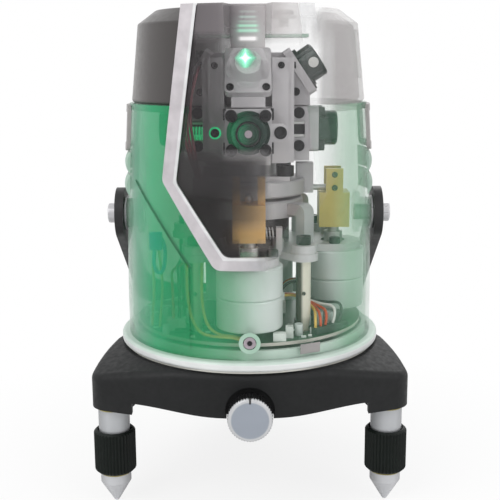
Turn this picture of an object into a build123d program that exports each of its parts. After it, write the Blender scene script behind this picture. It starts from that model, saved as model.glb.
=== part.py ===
from build123d import *
import math
import os

# Line laser level: a motor levelled laser head in a turning housing on a three footed base.
# Millimetres, +Z up, front towards -Y. Heights run up from the floor under the feet, and at
# the end each piece is shifted so that the origin is the mouth of the tripod thread.

# Fits and clearances
RUN_FIT = 0.05            # radial room round a shaft that turns or slides
SEAT_FIT = 0.05           # radial room round a fixed piece in its hole
FACE_GAP = 0.2            # between flat faces that pass each other
ROLL_GAP = 0.3            # between curved faces that pass each other
COVER_GAP = 0.3           # round covers, panels and buttons
CUT = 2.0                 # how far a cutting shape runs past a face

# Feet
FOOT_CIRCLE_R = 77.0
FOOT_ANGLES = {"left": 210, "right": 330, "rear": 90}
TIP_R = 7.45
TIP_CONE_H = 11.0
TIP_NOSE_R = 1.5
TIP_SHANK_H = 5.3
NECK_R = 6.0
STEM_R = 4.95
STEM_GRIP = 15.0          # stem inside its sleeve at rest
COLLAR_R = 10.15
COLLAR_H = 21.4
COLLAR_WEB = 7.4
COLLAR_EDGE = 1.2
COLLAR_FLUTES = 36
COLLAR_FLUTE_DEPTH = 0.6
FOOT_RISE = 6.0           # how far a foot screws up from rest
SLEEVE_R = 7.6
SLEEVE_AIR = 0.7          # open ring between the sleeve and the collar
SLEEVE_SHOW = 10.0        # sleeve in view above the collar
SLEEVE_SEAT = 14.0        # sleeve inside the base

# Base casting
CORNER_R = 10.0
SIDE_MID_R = 63.0         # axis to the middle of a side
BASE_H = 26.0
BASE_EDGE = 4.0
DOME_R = 66.3             # where the top starts to fall towards the feet
DOME_DROP = 7.0
SKIRT_WALL = 4.0
SKIRT_SIDE_LIFT = 8.0     # skirt edge above the corner boss, beside the boss
SKIRT_MID_LIFT = 3.9      # the same at the middle of a side
SKIRT_MID_HALF = 12.0
BOSS_STEP = 0.7
BOSS_TRIM = 2.4           # corner boss ends above the base's lowest level
ROOF_T = 8.0
HUB_R = 22.0
HUB_LIFT = 2.0            # hub underside above the corner bosses
RIB_T = 6.0
RIB_LIFT = 6.0
BUSH_R = 11.0
BUSH_H = 11.0
BUSH_EDGE = 0.8
THREAD_R = 6.75           # minor bore of the 5/8 inch tripod thread

# Turntable and its drive
BEARING_T = 0.8
BEARING_IN_R = 55.5
BEARING_OUT_R = 64.0
RIM_R = 65.8
RIM_H = 4.5
RIM_EDGE = 1.5
FLOOR_T = 3.0
SPIGOT_H = 4.0
SPIGOT_T = 1.9
SPINDLE_R = 12.0
SPINDLE_FOOT_GAP = 1.0
TRACK_R = 46.5
TRACK_W = 6.0
TRACK_DEPTH = 11.7        # track ring below the turntable
GROOVE_AIR = 0.9
GROOVE_WALL = 3.0
KNOB_LIFT = 7.5           # knob axis above the corner bosses
KNOB_R = 10.4
KNOB_L = 9.0
KNOB_FACE = 75.0          # knob face in front of the axis
KNOB_EDGE = 0.9
KNOB_FLUTES = 48
KNOB_FLUTE_DEPTH = 0.5
KNOB_SINK = 6.0           # shaft inside the knob
SHAFT_R = 3.0
SHAFT_END = 34.0
KNOB_BUSH_R = 4.2
KNOB_BUSH_FRONT = 57.0
KNOB_BUSH_L = 6.5
KNOB_BLOCK_HALF = 8.0
KNOB_WALL_HALF = 13.0     # wall behind the knob's recess
KNOB_BLOCK_DROP = 6.0
RECESS_R = 11.5
PEDESTAL_HALF = 5.0
PEDESTAL_FRONT = 41.5

# Housing and cap
HOUSING_H = 115.2
HOUSING_LOW_R = 62.0
HOUSING_MID_R = 60.5
HOUSING_MID_H = 80.5
HOUSING_TOP_R = 58.6
HOUSING_WALL = 2.0
SEAM_ANGLE = 135.0        # seam of the turned skins, clear of windows, grips and door
CREASE_W = 1.5
CREASE_DEPTH = 0.7
CREASE_SIDE = (53.4, 79.1)
CREASE_KNEE = (27.0, 42.3)
SCREW_BOSS_R = 5.0
SCREW_BOSS_L = 1.8
SCREW_BOSS_H = 8.9        # above the housing foot
CAP_H = 43.5
CAP_R = 57.6
CAP_SHOULDER_R = 53.8
CAP_SHOULDER_H = 37.0
CAP_FLAT_R = 45.0
CAP_WALL = 2.2
CAP_ROOF = 2.0
CAP_SPIGOT_H = 3.6
CAP_SPIGOT_T = 1.8
CAP_EDGE = 1.4

# Front fascia, in the front view
FASCIA_RISE = 0.7         # top above the flat of the cap
FASCIA_TOP_HALF = 29.6
FASCIA_MID_HALF = 39.5
FASCIA_MID_H = 81.5       # above the housing foot
FASCIA_LOW_HALF = 15.5
FASCIA_LOW_H = 42.5
FASCIA_CORNER = 5.0
RAIL_TOP_W = 7.2
RAIL_MID_W = 6.7
RAIL_LOW_W = 4.5
RAIL_FOOT_W = 6.0
FASCIA_LIFT = 0.1         # bezel above the housing skin
BEZEL_T = 2.1
PANEL_T = 1.3
PANEL_LAP = 2.0
RECESS_TOP_HALF = 13.4
RECESS_LOW_HALF = 10.8
RECESS_FLOOR_HALF = 8.0
RECESS_DEPTH_Y = 45.5     # recess floor in front of the axis
RECESS_H = 24.0
RECESS_WALL = 1.4
RECESS_FLOOR_STEP = 4.0

# Windows, grips and buttons
WINDOW_ANGLES = {"right": 90, "rear": 180, "left": 270}
WINDOW_DROP = 4.2         # window below the housing's top edge
WINDOW_H = 15.2
WINDOW_HALF = 14.0
FRAME_W = 3.4
FRAME_T = 1.5
CAP_WINDOW_HALF = 8.0
CAP_WINDOW_LOW_H = 11.0
CAP_WINDOW_HIGH_H = 34.0
GRIP_HALF = 19.0
GRIP_BULGE = 1.5
GRIP_LIFT = 11.2          # lower pad above the handle pivots
GRIP_SPLIT = 0.8          # between the two pads
GRIP_GAP = 0.6            # between the upper pad and the window frame
BUTTON_R = 5.0
BUTTON_PROUD = 0.7
BUTTON_FLANGE = 1.4
BUTTON_FLANGE_T = 1.2
BUTTON_STEM_R = 2.4
BUTTON_STEM_L = 4.0
BUTTON_PLACES = {"power": -18.0, "lines": 0.0, "light": 18.0}
BUTTON_Y = 8.0
KEY_BOARD_T = 1.6
KEY_BOARD_DROP = 9.0      # board top below the cap roof
KEY_BOARD_HALF = 30.0
KEY_BOARD_W = 16.0
KEY_POST_R = 2.0
KEY_POST_X = 27.2

# Bail handle
PIVOT_LIFT = 14.3         # above the chassis plate
HANDLE_T = 4.3
HANDLE_END_R = 13.0
HANDLE_BAR_HALF = 7.0
HANDLE_REACH = 120.0
HANDLE_CORNER = 27.0
HANDLE_REST = 35.0        # degrees below level at rest
HANDLE_BOSS_R = 7.5
HANDLE_BOSS_FLANGE_R = 10.5
HANDLE_BOSS_FLANGE_T = 2.5
HANDLE_BOSS_IN_X = 53.5
HANDLE_BOSS_PROUD = 0.2
WASHER_T = 0.8
WASHER_R = 8.5
PIVOT_R = 4.0
PIVOT_HEAD_R = 5.0
PIVOT_HEAD_T = 4.3

# Battery and its door
DOOR_LOW_H = 9.0
DOOR_HIGH_H = 50.0
DOOR_HALF = 26.0
DOOR_GAP = 0.8
KNUCKLE_R = 2.0
KNUCKLE_IN_X = 12.0
KNUCKLE_L = 5.0
LUG_L = 3.6
HINGE_PIN_R = 1.0
TAB_HALF = 6.0
TAB_OUT = 2.2
TAB_H = 3.0
BATTERY_HALF = 24.0
BATTERY_FRONT = 28.0
BATTERY_BACK = 50.0
BATTERY_DROP = 3.0        # battery below the chassis plate
BATTERY_EDGE = 3.0

# Chassis
BOARD_LIFT = 6.7          # board above the turntable floor
BOARD_T = 1.6
BOARD_R = 57.0
BOARD_BACK = 24.0
BOARD_POST_R = 2.5
BOARD_POSTS = [(-42.0, -20.0), (42.0, -16.0), (-15.0, 15.0), (15.0, 15.0)]
BOARD_AIR = 1.0
COLUMN_PLACES = [(26.0, -34.0), (-26.0, -34.0), (34.5, 29.0), (-34.5, 29.0)]
COLUMN_R = 3.6
COLUMN_STUB_R = 2.5
COLUMN_TAPER_LOW = 8.0    # above the turntable floor
COLUMN_TAPER_HIGH = 15.0
COLUMN_EYE_R = 1.0
COLUMN_EYE_H = 27.0
SOCKET_R = 5.5
SOCKET_H = 5.0
MOTOR_LIFT = 13.0         # motor above the turntable floor
MOTOR_R = 15.8
MOTOR_SHARE = 0.5         # motor can over the whole drive, motor and gearbox
CAN_EDGE = 1.0
DRIVE_R = 43.0            # lead screws from the axis
TERMINAL_W = 8.0
TERMINAL_H = 4.0
TERMINAL_OUT = 3.0
TERMINAL_DROP = 1.0       # terminal below the top of its motor can
PLATE_T = 3.5
PLATE_DROP = 73.7         # chassis plate below the housing's top edge
PLATE_R = 34.0
PLATE_HOLE_R = 9.0
COLUMN_LOBE_R = 7.0
MOTOR_LOBE_R = 14.0
COLUMN_BOSS_R = 6.2
COLUMN_BOSS_H = 4.0
STOP_PLACES = [(14.3, -21.0), (-14.3, -21.0), (40.9, 17.0)]
STOP_R = 2.9
STOP_H = 5.5
MOTOR_SCREW_SPREAD = 11.0
SPRING_AXIS_Y = -29.0
SPRING_LIFT = 8.5         # spring axis above the plate
SPRING_START_X = -2.0
SPRING_PITCH = 1.5
SPRING_TURNS = 10
SPRING_R = 2.6
SPRING_WIRE_R = 0.4
SPRING_POST_T = 3.0
SPRING_POST_HALF = 2.6
SPRING_PIN_R = 1.6

# Screws: head radius, head height, shank radius
M3 = (2.75, 3.0, 1.5)
M4 = (3.5, 4.0, 2.0)
M5 = (4.2, 5.0, 2.5)
SOCKET_SHARE = 0.5        # hexagon socket radius over head radius
SOCKET_DEPTH = 0.55       # socket depth over head height

# Gimbal
GIMBAL_LIFT = 14.5        # gimbal disc above the plate
GIMBAL_R = 27.5
GIMBAL_T = 8.4
GIMBAL_EDGE = 0.9
LEG_ANGLES = [-38.7, 38.7, 141.3, 218.7]
LEG_IN_R = 32.5
LEG_T = 5.0
LEG_HALF = 4.0
LEG_CORNER = 4.5
LEG_TOP_DROP = 1.4
TILT_AIR = 1.8            # between the gimbal disc and the head disc
TILT_LIFT = 4.1           # tilt axes above the gimbal disc
EAR_IN = 8.0
EAR_T = 4.0
EAR_R = 2.8
EAR_HALF = 4.3
CROSS_HALF = 4.5
CROSS_T = 5.0
TRUNNION_R = 2.5
TRUNNION_END = 12.4

# Laser head
HEAD_R = 28.5
HEAD_T = 7.8
HEAD_EDGE = 0.8
POCKET_R = 15.8
POCKET_DEPTH = 6.0
LEVER_OUT = 32.5
LEVER_HALF = 4.5
LEVER_H = 15.0
PIN_BOSS_OUT = 31.5
PIN_BOSS_HALF = 5.0
PIN_R = 1.5
PIN_SINK = 3.0
BALL_R = 2.0
PEDESTAL_R = 14.0
PEDESTAL_H = 9.0
TOWER_HALF = 19.6
TOWER_BLOCK_H = 27.0
TOWER_SLOT = 1.4
POST_IN = 11.4
POST_OUT = 22.0
POST_SIDE = 19.2
POST_TOP = 50.0           # above the pedestal
FAN_TILT = 33.6           # degrees above level
FAN_CENTRE_R = 25.2
FAN_CENTRE_H = 43.3       # above the pedestal
FAN_PLATE_L = 24.6
FAN_PLATE_W = 22.0
FAN_PLATE_T = 4.0
WEDGE_HALF = 8.0
LINE_H = 15.5             # line axis above the pedestal
MOUNT_OUT = 30.0
MOUNT_HALF = 10.5
MOUNT_H = 26.5
MOUNT_SLOT_W = 6.0
MOUNT_SLOT_H = 8.0
MOUNT_SLOT_DEPTH = 3.0
LINE_PLATE_HALF = 11.0
LINE_PLATE_T = 4.5
LINE_PLATE_CORNER = 2.0
LINE_EAR_OUT = 15.0
LINE_EAR_R = 4.1
LINE_SCREW_SPREAD = 8.0
BARREL_R = 8.6
BARREL_L = 9.7
BARREL_FLANGE_R = 10.2
BARREL_FLANGE_T = 2.0
BARREL_BORE_R = 6.0
BARREL_BORE_DEPTH = 4.0
BARREL_EDGE = 0.8
LENS_T = 2.0
HEAD_SCREW_PLACES = [(18.0, -16.5), (-18.0, -16.5), (18.0, 16.5), (-18.0, 16.5)]

# Lead screws and forks
SCREW_R = 3.0
SCREW_HUB_R = 4.7
SCREW_HUB_H = 7.7
SCREW_TOP_GAP = 5.0       # screw end below the fork floor
DRIVE_STUB_R = 2.0
DRIVE_STUB_L = 5.0
HUB_AIR = 1.5
FORK_HALF = 7.6
FORK_H = 17.5
FORK_SEAT_R = 3.4
FORK_SEAT_DEPTH = 0.4
FORK_ROOF = 2.6
PRONG_T = 3.5
PRONG_HALF = 4.25
PRONG_H = 12.0

# Wires
WIRE_R = 0.6
WIRE_REACH = 8.4          # straight run out of a terminal
WIRE_STEP = 1.5           # wires side by side at a terminal
WIRE_END_GAP = 0.15       # slanted wire end above its seat
STEEP_END_GAP = 0.55
WIRE_SIDES = 6
WIRE_BEND = 0.45          # share of the shorter run that a bend takes
FAN_NEAR = (32.5, -28.0, -3.0)    # first and last fan wire behind the column, heights from the terminal
FAN_FAR = (35.0, -22.0, -1.5)
FAN_DROP = 5.0
FAN_RISE = 2.0
LEAD_IN = 17.0            # from the left connector over to the battery's face

# Levels worked out from the sizes above
TIP_TOP = TIP_CONE_H + TIP_SHANK_H
COLLAR_BOTTOM = TIP_TOP + ROLL_GAP
WEB_TOP = COLLAR_BOTTOM + COLLAR_WEB
COLLAR_TOP = COLLAR_BOTTOM + COLLAR_H
SLEEVE_BOTTOM = WEB_TOP + FOOT_RISE + ROLL_GAP
BOSS_BOTTOM = COLLAR_TOP + SLEEVE_SHOW
SLEEVE_TOP = BOSS_BOTTOM + SLEEVE_SEAT
STEM_TOP = SLEEVE_BOTTOM + STEM_GRIP
DATUM_Z = BOSS_BOTTOM + HUB_LIFT
BUSH_TOP = DATUM_Z + BUSH_H
BASE_TOP = BOSS_BOTTOM + BASE_H
ROOF_Z = BASE_TOP - ROOF_T
KNOB_Z = BOSS_BOTTOM + KNOB_LIFT
TABLE_Z = BASE_TOP + BEARING_T + FACE_GAP
TRACK_Z = TABLE_Z - TRACK_DEPTH
GROOVE_Z = TRACK_Z - ROLL_GAP
ROLLER_R = TRACK_Z - ROLL_GAP - KNOB_Z
HOUSING_Z = TABLE_Z + RIM_H
FLOOR_Z = TABLE_Z + FLOOR_T
HOUSING_TOP = HOUSING_Z + HOUSING_H
CAP_Z = HOUSING_TOP + COVER_GAP
CAP_TOP = CAP_Z + CAP_H
CAP_ROOF_Z = CAP_TOP - CAP_ROOF
FASCIA_TOP = CAP_TOP + FASCIA_RISE
BOARD_Z = FLOOR_Z + BOARD_LIFT
BOARD_TOP = BOARD_Z + BOARD_T
MOTOR_Z = FLOOR_Z + MOTOR_LIFT
PLATE_Z = HOUSING_TOP - PLATE_DROP
PLATE_TOP = PLATE_Z + PLATE_T
GEARBOX_Z = MOTOR_Z + MOTOR_SHARE * (PLATE_Z - MOTOR_Z)
TERMINAL_Z = GEARBOX_Z - TERMINAL_DROP - TERMINAL_H
BATTERY_TOP = PLATE_Z - BATTERY_DROP
PIVOT_Z = PLATE_TOP + PIVOT_LIFT
PIVOT_H = PIVOT_Z - HOUSING_Z
WINDOW_HIGH_H = HOUSING_H - WINDOW_DROP
WINDOW_LOW_H = WINDOW_HIGH_H - WINDOW_H
GRIP_LOW_H = PIVOT_H + GRIP_LIFT
GRIP_HIGH_H = WINDOW_LOW_H - FRAME_W - GRIP_GAP
GRIP_H = (GRIP_HIGH_H - GRIP_LOW_H - GRIP_SPLIT) / 2
SKIN_R = HOUSING_LOW_R + FASCIA_LIFT + BEZEL_T + CUT
SPRING_Z = PLATE_TOP + SPRING_LIFT
SPRING_END_X = SPRING_START_X + SPRING_PITCH * SPRING_TURNS
GIMBAL_Z = PLATE_TOP + GIMBAL_LIFT
GIMBAL_TOP = GIMBAL_Z + GIMBAL_T
TILT_Z = GIMBAL_TOP + TILT_LIFT
HEAD_Z = GIMBAL_TOP + TILT_AIR
HEAD_TOP = HEAD_Z + HEAD_T
TOWER_Z = HEAD_TOP + PEDESTAL_H
LINE_Z = TOWER_Z + LINE_H
FAN_Z = TOWER_Z + FAN_CENTRE_H
MOUNT_END = MOUNT_OUT + LINE_PLATE_T
FORK_FLOOR = TILT_Z - BALL_R - ROLL_GAP + FORK_SEAT_DEPTH
FORK_Z = FORK_FLOOR - FORK_H
KEY_BOARD_TOP = CAP_ROOF_Z - KEY_BOARD_DROP
DOOR_Z = HOUSING_Z + DOOR_LOW_H
DOOR_TOP = HOUSING_Z + DOOR_HIGH_H


# Shapes used by many pieces
def polar(radius, angle):
    """Point on a circle about the axis, angle in degrees from +X."""
    return (radius * math.cos(math.radians(angle)), radius * math.sin(math.radians(angle)))


def disc(radius, bottom, top, at=(0.0, 0.0)):
    """Upright cylinder between two heights."""
    return Pos(at[0], at[1], bottom) * extrude(Circle(radius), top - bottom)


def ring(outer, inner, bottom, top, at=(0.0, 0.0)):
    """Upright tube between two heights."""
    return Pos(at[0], at[1], bottom) * extrude(Circle(outer) - Circle(inner), top - bottom)


def block(x, y, z):
    """Box between pairs of limits along X, Y and Z."""
    centre = [(low + high) / 2 for low, high in (x, y, z)]
    return Pos(*centre) * Box(x[1] - x[0], y[1] - y[0], z[1] - z[0])


def bar_x(radius, start, end, y, z):
    """Round bar along X."""
    return Pos(start, y, z) * Rot(0, 90, 0) * extrude(Circle(radius), end - start)


def bar_y(radius, start, end, x, z):
    """Round bar along Y."""
    return Pos(x, start, z) * Rot(-90, 0, 0) * extrude(Circle(radius), end - start)


def turned(*points):
    """Solid turned about the axis from its (radius, height) outline."""
    outline = Polyline(*[(radius, 0, height) for radius, height in points], close=True)
    return revolve(make_face(outline), Axis.Z)


def knurled(radius, depth, flutes, length):
    """Upright prism with V flutes round its rim."""
    points = []
    for i in range(flutes):
        points.append(polar(radius, 360 / flutes * i))
        points.append(polar(radius - depth, 360 / flutes * (i + 0.5)))
    return extrude(make_face(Polyline(*points, close=True)), length)


def front_prism(face, near, far):
    """Front view face pushed forward between two distances from the axis."""
    return extrude(Plane.XZ.offset(near) * face, far - near)


def front_rectangle(half, low, high):
    """Rectangle in the front view, centred on the axis."""
    return Pos(0, (low + high) / 2) * Rectangle(2 * half, high - low)


def around(piece, angles):
    """Copies of a piece turned about the axis."""
    return [Rot(0, 0, angle) * piece for angle in angles]


def group(pieces):
    """Separate solids that share one node."""
    return Compound(children=[solid for piece in pieces for solid in piece.solids()])


def cap_screw(size, length):
    """Socket head screw, head up, with its seat at the origin."""
    head_r, head_h, shank_r = size
    screw = disc(head_r, 0, head_h) + disc(shank_r, -length, 0)
    socket = Pos(0, 0, head_h * (1 - SOCKET_DEPTH)) * extrude(RegularPolygon(head_r * SOCKET_SHARE, 6), head_h)
    return screw - socket


def screw_hole(size, bottom, top, at):
    """Hole for a screw's shank."""
    return disc(size[2] + SEAT_FIT, bottom, top, at)


# Feet
def foot(angle):
    """Pointed foot with the stem that screws into its sleeve."""
    reach = math.hypot(TIP_R, TIP_CONE_H - TIP_NOSE_R)
    lean = math.atan2(TIP_CONE_H - TIP_NOSE_R, TIP_R) - math.acos(TIP_NOSE_R / reach)
    touch = (TIP_NOSE_R * math.cos(lean), 0, TIP_NOSE_R * (1 + math.sin(lean)))
    nose = TangentArc((0, 0, 0), touch, tangent=(1, 0, 0))
    side = Polyline(
        touch,
        (TIP_R, 0, TIP_CONE_H),
        (TIP_R, 0, TIP_TOP),
        (NECK_R, 0, TIP_TOP),
        (NECK_R, 0, WEB_TOP),
        (STEM_R, 0, WEB_TOP),
        (STEM_R, 0, STEM_TOP),
        (0, 0, STEM_TOP),
        (0, 0, 0),
    )
    return Pos(*polar(FOOT_CIRCLE_R, angle)) * revolve(make_face([nose, side]), Axis.Z)


def collar(angle):
    """Fluted collar that turns on the foot's neck and covers the end of the sleeve."""
    inner = COLLAR_R - COLLAR_EDGE
    high = COLLAR_H - COLLAR_EDGE
    outline = [(0, 0), (inner, 0), (COLLAR_R, COLLAR_EDGE), (COLLAR_R, high), (inner, COLLAR_H), (0, COLLAR_H)]
    body = knurled(COLLAR_R, COLLAR_FLUTE_DEPTH, COLLAR_FLUTES, COLLAR_H) & turned(*outline)
    body -= disc(NECK_R + RUN_FIT, -CUT, COLLAR_H)
    body -= disc(SLEEVE_R + SLEEVE_AIR, COLLAR_WEB, COLLAR_H + CUT)
    return Pos(*polar(FOOT_CIRCLE_R, angle), COLLAR_BOTTOM) * body


def leg_sleeves():
    """Three plain sleeves that hang from the corner bosses."""
    places = [polar(FOOT_CIRCLE_R, angle) for angle in FOOT_ANGLES.values()]
    return group([ring(SLEEVE_R, STEM_R + RUN_FIT, SLEEVE_BOTTOM, SLEEVE_TOP, at) for at in places])


# Base
def base_outline(inset):
    """Plan of the base: bowed sides between three round corners."""
    angles = list(FOOT_ANGLES.values())
    corners = [polar(FOOT_CIRCLE_R, angle) for angle in angles]
    middles = [polar(SIDE_MID_R - CORNER_R, angle + 60) for angle in angles]
    arcs = [ThreePointArc(corners[i], middles[i], corners[(i + 1) % 3]) for i in range(3)]
    return offset(make_face(arcs), CORNER_R - inset)


def skirt_wave():
    """Space under the front side of the skirt, between two corner bosses."""
    half = FOOT_CIRCLE_R * math.cos(math.radians(30)) - CORNER_R - BOSS_STEP
    side_z = BOSS_BOTTOM + SKIRT_SIDE_LIFT
    mid_z = BOSS_BOTTOM + SKIRT_MID_LIFT
    low = BOSS_BOTTOM - CUT
    edges = [
        Polyline((-SKIRT_MID_HALF, mid_z), (SKIRT_MID_HALF, mid_z)),
        Spline((SKIRT_MID_HALF, mid_z), (half, side_z), tangents=((1, 0), (1, 0))),
        Polyline((half, side_z), (half, low), (-half, low), (-half, side_z)),
        Spline((-half, side_z), (-SKIRT_MID_HALF, mid_z), tangents=((1, 0), (1, 0))),
    ]
    return front_prism(make_face(edges), HUB_R + CUT, FOOT_CIRCLE_R + CORNER_R)


def tripod_base():
    """Black casting with the hub, the corner bosses, the skirt and the drive bearings."""
    corner = FOOT_CIRCLE_R + CORNER_R
    far = corner + CUT
    far_z = BASE_TOP - DOME_DROP * (far - DOME_R) / (corner - DOME_R)
    dome = turned((0, BOSS_BOTTOM), (far, BOSS_BOTTOM), (far, far_z), (DOME_R, BASE_TOP), (0, BASE_TOP))
    outside = Pos(0, 0, BOSS_BOTTOM) * extrude(base_outline(0), BASE_H) & dome
    rims = [edge for edge in outside.edges() if edge.center().Z > far_z and edge.length > CORNER_R / 2]
    rims = [edge for edge in rims if edge.geom_type != GeomType.LINE and not on_dome_ring(edge)]
    outside = fillet(rims, BASE_EDGE)
    places = [polar(FOOT_CIRCLE_R, angle) for angle in FOOT_ANGLES.values()]
    hollow = Pos(0, 0, BOSS_BOTTOM - CUT) * extrude(base_outline(SKIRT_WALL), ROOF_Z - BOSS_BOTTOM + CUT)
    for at, angle in zip(places, FOOT_ANGLES.values()):
        hollow -= disc(CORNER_R + BOSS_STEP, BOSS_BOTTOM - CUT, ROOF_Z, at)
        rib = block((0, FOOT_CIRCLE_R), (-RIB_T / 2, RIB_T / 2), (DATUM_Z + RIB_LIFT, ROOF_Z))
        hollow -= Rot(0, 0, angle) * rib
    hollow -= disc(HUB_R, DATUM_Z, ROOF_Z)
    track_in = TRACK_R - TRACK_W / 2 - GROOVE_AIR
    track_out = TRACK_R + TRACK_W / 2 + GROOVE_AIR
    hollow -= ring(track_out + GROOVE_WALL, track_in - GROOVE_WALL, GROOVE_Z - GROOVE_WALL, ROOF_Z)
    body = outside - hollow
    for angle in (0, 120, 240):
        body -= Rot(0, 0, angle) * skirt_wave()
    block_z = (KNOB_Z - KNOB_BLOCK_DROP, ROOF_Z)
    block_back = KNOB_BUSH_FRONT - KNOB_BUSH_L
    block_y = (-SIDE_MID_R + SKIRT_WALL, -block_back)
    wall_z = (BOSS_BOTTOM + SKIRT_MID_LIFT, ROOF_Z)
    body += block((-KNOB_BLOCK_HALF, KNOB_BLOCK_HALF), block_y, block_z)
    body += block((-KNOB_WALL_HALF, KNOB_WALL_HALF), block_y, wall_z)
    pedestal_z = (DATUM_Z, ROOF_Z)
    body += block((-PEDESTAL_HALF, PEDESTAL_HALF), (-PEDESTAL_FRONT, -SPINDLE_R - CUT), pedestal_z)
    body -= bar_y(RECESS_R, -SIDE_MID_R - CUT, -KNOB_BUSH_FRONT, 0, KNOB_Z)
    body -= bar_y(KNOB_BUSH_R + SEAT_FIT, -KNOB_BUSH_FRONT - CUT, -block_back + CUT, 0, KNOB_Z)
    body -= bar_y(SHAFT_R + RUN_FIT, -PEDESTAL_FRONT - CUT, -SHAFT_END + CUT, 0, KNOB_Z)
    body -= ring(track_out, track_in, GROOVE_Z, BASE_TOP + CUT)
    roller_half = math.sqrt(ROLLER_R ** 2 - (ROLLER_R - GROOVE_WALL) ** 2) + GROOVE_AIR
    body -= block((-roller_half, roller_half), (-track_out, -track_in), (KNOB_Z, GROOVE_Z + CUT))
    body -= disc(SPINDLE_R + RUN_FIT, BUSH_TOP, BASE_TOP + CUT)
    body -= disc(BUSH_R + SEAT_FIT, DATUM_Z - CUT, BUSH_TOP + CUT)
    for at in places:
        body -= disc(SLEEVE_R + SEAT_FIT, BOSS_BOTTOM - CUT, SLEEVE_TOP, at)
        body -= disc(2 * CORNER_R, BOSS_BOTTOM - CUT, BOSS_BOTTOM + BOSS_TRIM, at)
    return body


def on_dome_ring(edge):
    """True for the circle where the flat top meets the falling arms."""
    points = [edge @ share for share in (0.0, 0.5, 1.0)]
    return all(abs(math.hypot(point.X, point.Y) - DOME_R) < RUN_FIT for point in points)


def tripod_thread_bush():
    """Brass bush that takes the tripod screw."""
    bore_top = THREAD_R + BUSH_EDGE
    outline = [
        (THREAD_R, DATUM_Z),
        (BUSH_R, DATUM_Z),
        (BUSH_R, BUSH_TOP),
        (bore_top, BUSH_TOP),
        (THREAD_R, BUSH_TOP - BUSH_EDGE),
    ]
    return turned(*outline)


def knob_bush():
    """Bearing bush of the knob's shaft in the skirt."""
    outside = bar_y(KNOB_BUSH_R, -KNOB_BUSH_FRONT, -KNOB_BUSH_FRONT + KNOB_BUSH_L, 0, KNOB_Z)
    return outside - bar_y(SHAFT_R + RUN_FIT, -KNOB_FACE, 0, 0, KNOB_Z)


def turntable_bearing():
    """Thin ring that the turntable slides on."""
    return ring(BEARING_OUT_R, BEARING_IN_R, BASE_TOP, BASE_TOP + BEARING_T)


# Fine drive
def fine_knob():
    """Fluted knob, bored for its shaft."""
    front = KNOB_R - KNOB_EDGE
    outline = [(0, 0), (KNOB_R - KNOB_EDGE, 0), (KNOB_R, KNOB_EDGE), (KNOB_R, KNOB_L - KNOB_EDGE)]
    outline += [(front, KNOB_L), (0, KNOB_L)]
    body = knurled(KNOB_R, KNOB_FLUTE_DEPTH, KNOB_FLUTES, KNOB_L) & turned(*outline)
    body -= disc(SHAFT_R + SEAT_FIT, KNOB_L - KNOB_SINK, KNOB_L + CUT)
    return Pos(0, -KNOB_FACE, KNOB_Z) * Rot(-90, 0, 0) * body


def knob_shaft():
    """Shaft between the knob and the pedestal."""
    return bar_y(SHAFT_R, -KNOB_FACE + KNOB_L - KNOB_SINK, -SHAFT_END, 0, KNOB_Z)


def drive_roller():
    """Rubber roller that drives the track ring."""
    start = -TRACK_R - TRACK_W / 2
    outside = bar_y(ROLLER_R, start, start + TRACK_W, 0, KNOB_Z)
    return outside - bar_y(SHAFT_R + SEAT_FIT, start - CUT, start + TRACK_W + CUT, 0, KNOB_Z)


# Turntable and covers
def housing_radius(height):
    """Outer radius of the housing at a height above its foot."""
    places = [(0.0, HOUSING_LOW_R), (HOUSING_MID_H, HOUSING_MID_R), (HOUSING_H, HOUSING_TOP_R)]
    total = 0.0
    for i, (here, radius) in enumerate(places):
        for j, (there, _) in enumerate(places):
            if i != j:
                radius *= (height - there) / (here - there)
        total += radius
    return total


def housing_line(rise):
    """Housing skin in the radius and height plane, moved out by rise."""
    middle = HOUSING_MID_H
    start = (HOUSING_LOW_R + rise, 0, HOUSING_Z)
    knee = (HOUSING_MID_R + rise, 0, HOUSING_Z + middle)
    return ThreePointArc(start, knee, (HOUSING_TOP_R + rise, 0, HOUSING_TOP))


def housing_band(inner, outer):
    """Ring that follows the housing between two offsets from its skin."""
    inside = housing_line(inner)
    outside = housing_line(outer)
    edges = [inside, Line(inside @ 1, outside @ 1), outside, Line(outside @ 0, inside @ 0)]
    return Rot(0, 0, SEAM_ANGLE) * revolve(make_face(edges), Axis.Z)


def cap_radius(height):
    """Outer radius of the cap's tall side at a height above its foot."""
    return CAP_R - (CAP_R - CAP_SHOULDER_R) * height / CAP_SHOULDER_H


def fascia_band(inner, outer):
    """Ring that follows the housing and then stands up in front of the cap."""
    reach = cap_radius(FASCIA_TOP - CAP_Z) + COVER_GAP
    lines = []
    for rise in (inner, outer):
        lower = housing_line(rise)
        lines.append((lower, Line(lower @ 1, (reach + rise, 0, FASCIA_TOP))))
    (low_in, high_in), (low_out, high_out) = lines
    ends = [Line(high_in @ 1, high_out @ 1), Line(low_out @ 0, low_in @ 0)]
    return Rot(0, 0, SEAM_ANGLE) * revolve(make_face([low_in, high_in, low_out, high_out] + ends), Axis.Z)


def fascia_face(top_half, mid_half, mid, low_half, low):
    """Six sided front view outline with round lower corners, open past the top."""
    lean = (mid_half - top_half) / (FASCIA_TOP - mid)
    right = [(top_half - lean * CUT, FASCIA_TOP + CUT), (mid_half, mid), (low_half, low)]
    left = [(-x, z) for x, z in reversed(right)]
    face = make_face(Polyline(*right, *left, close=True))
    return fillet(face.vertices().sort_by(Axis.Y)[:4], FASCIA_CORNER)


def fascia_outer():
    """Outer outline of the bezel."""
    mid = HOUSING_Z + FASCIA_MID_H
    return fascia_face(FASCIA_TOP_HALF, FASCIA_MID_HALF, mid, FASCIA_LOW_HALF, HOUSING_Z + FASCIA_LOW_H)


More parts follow.
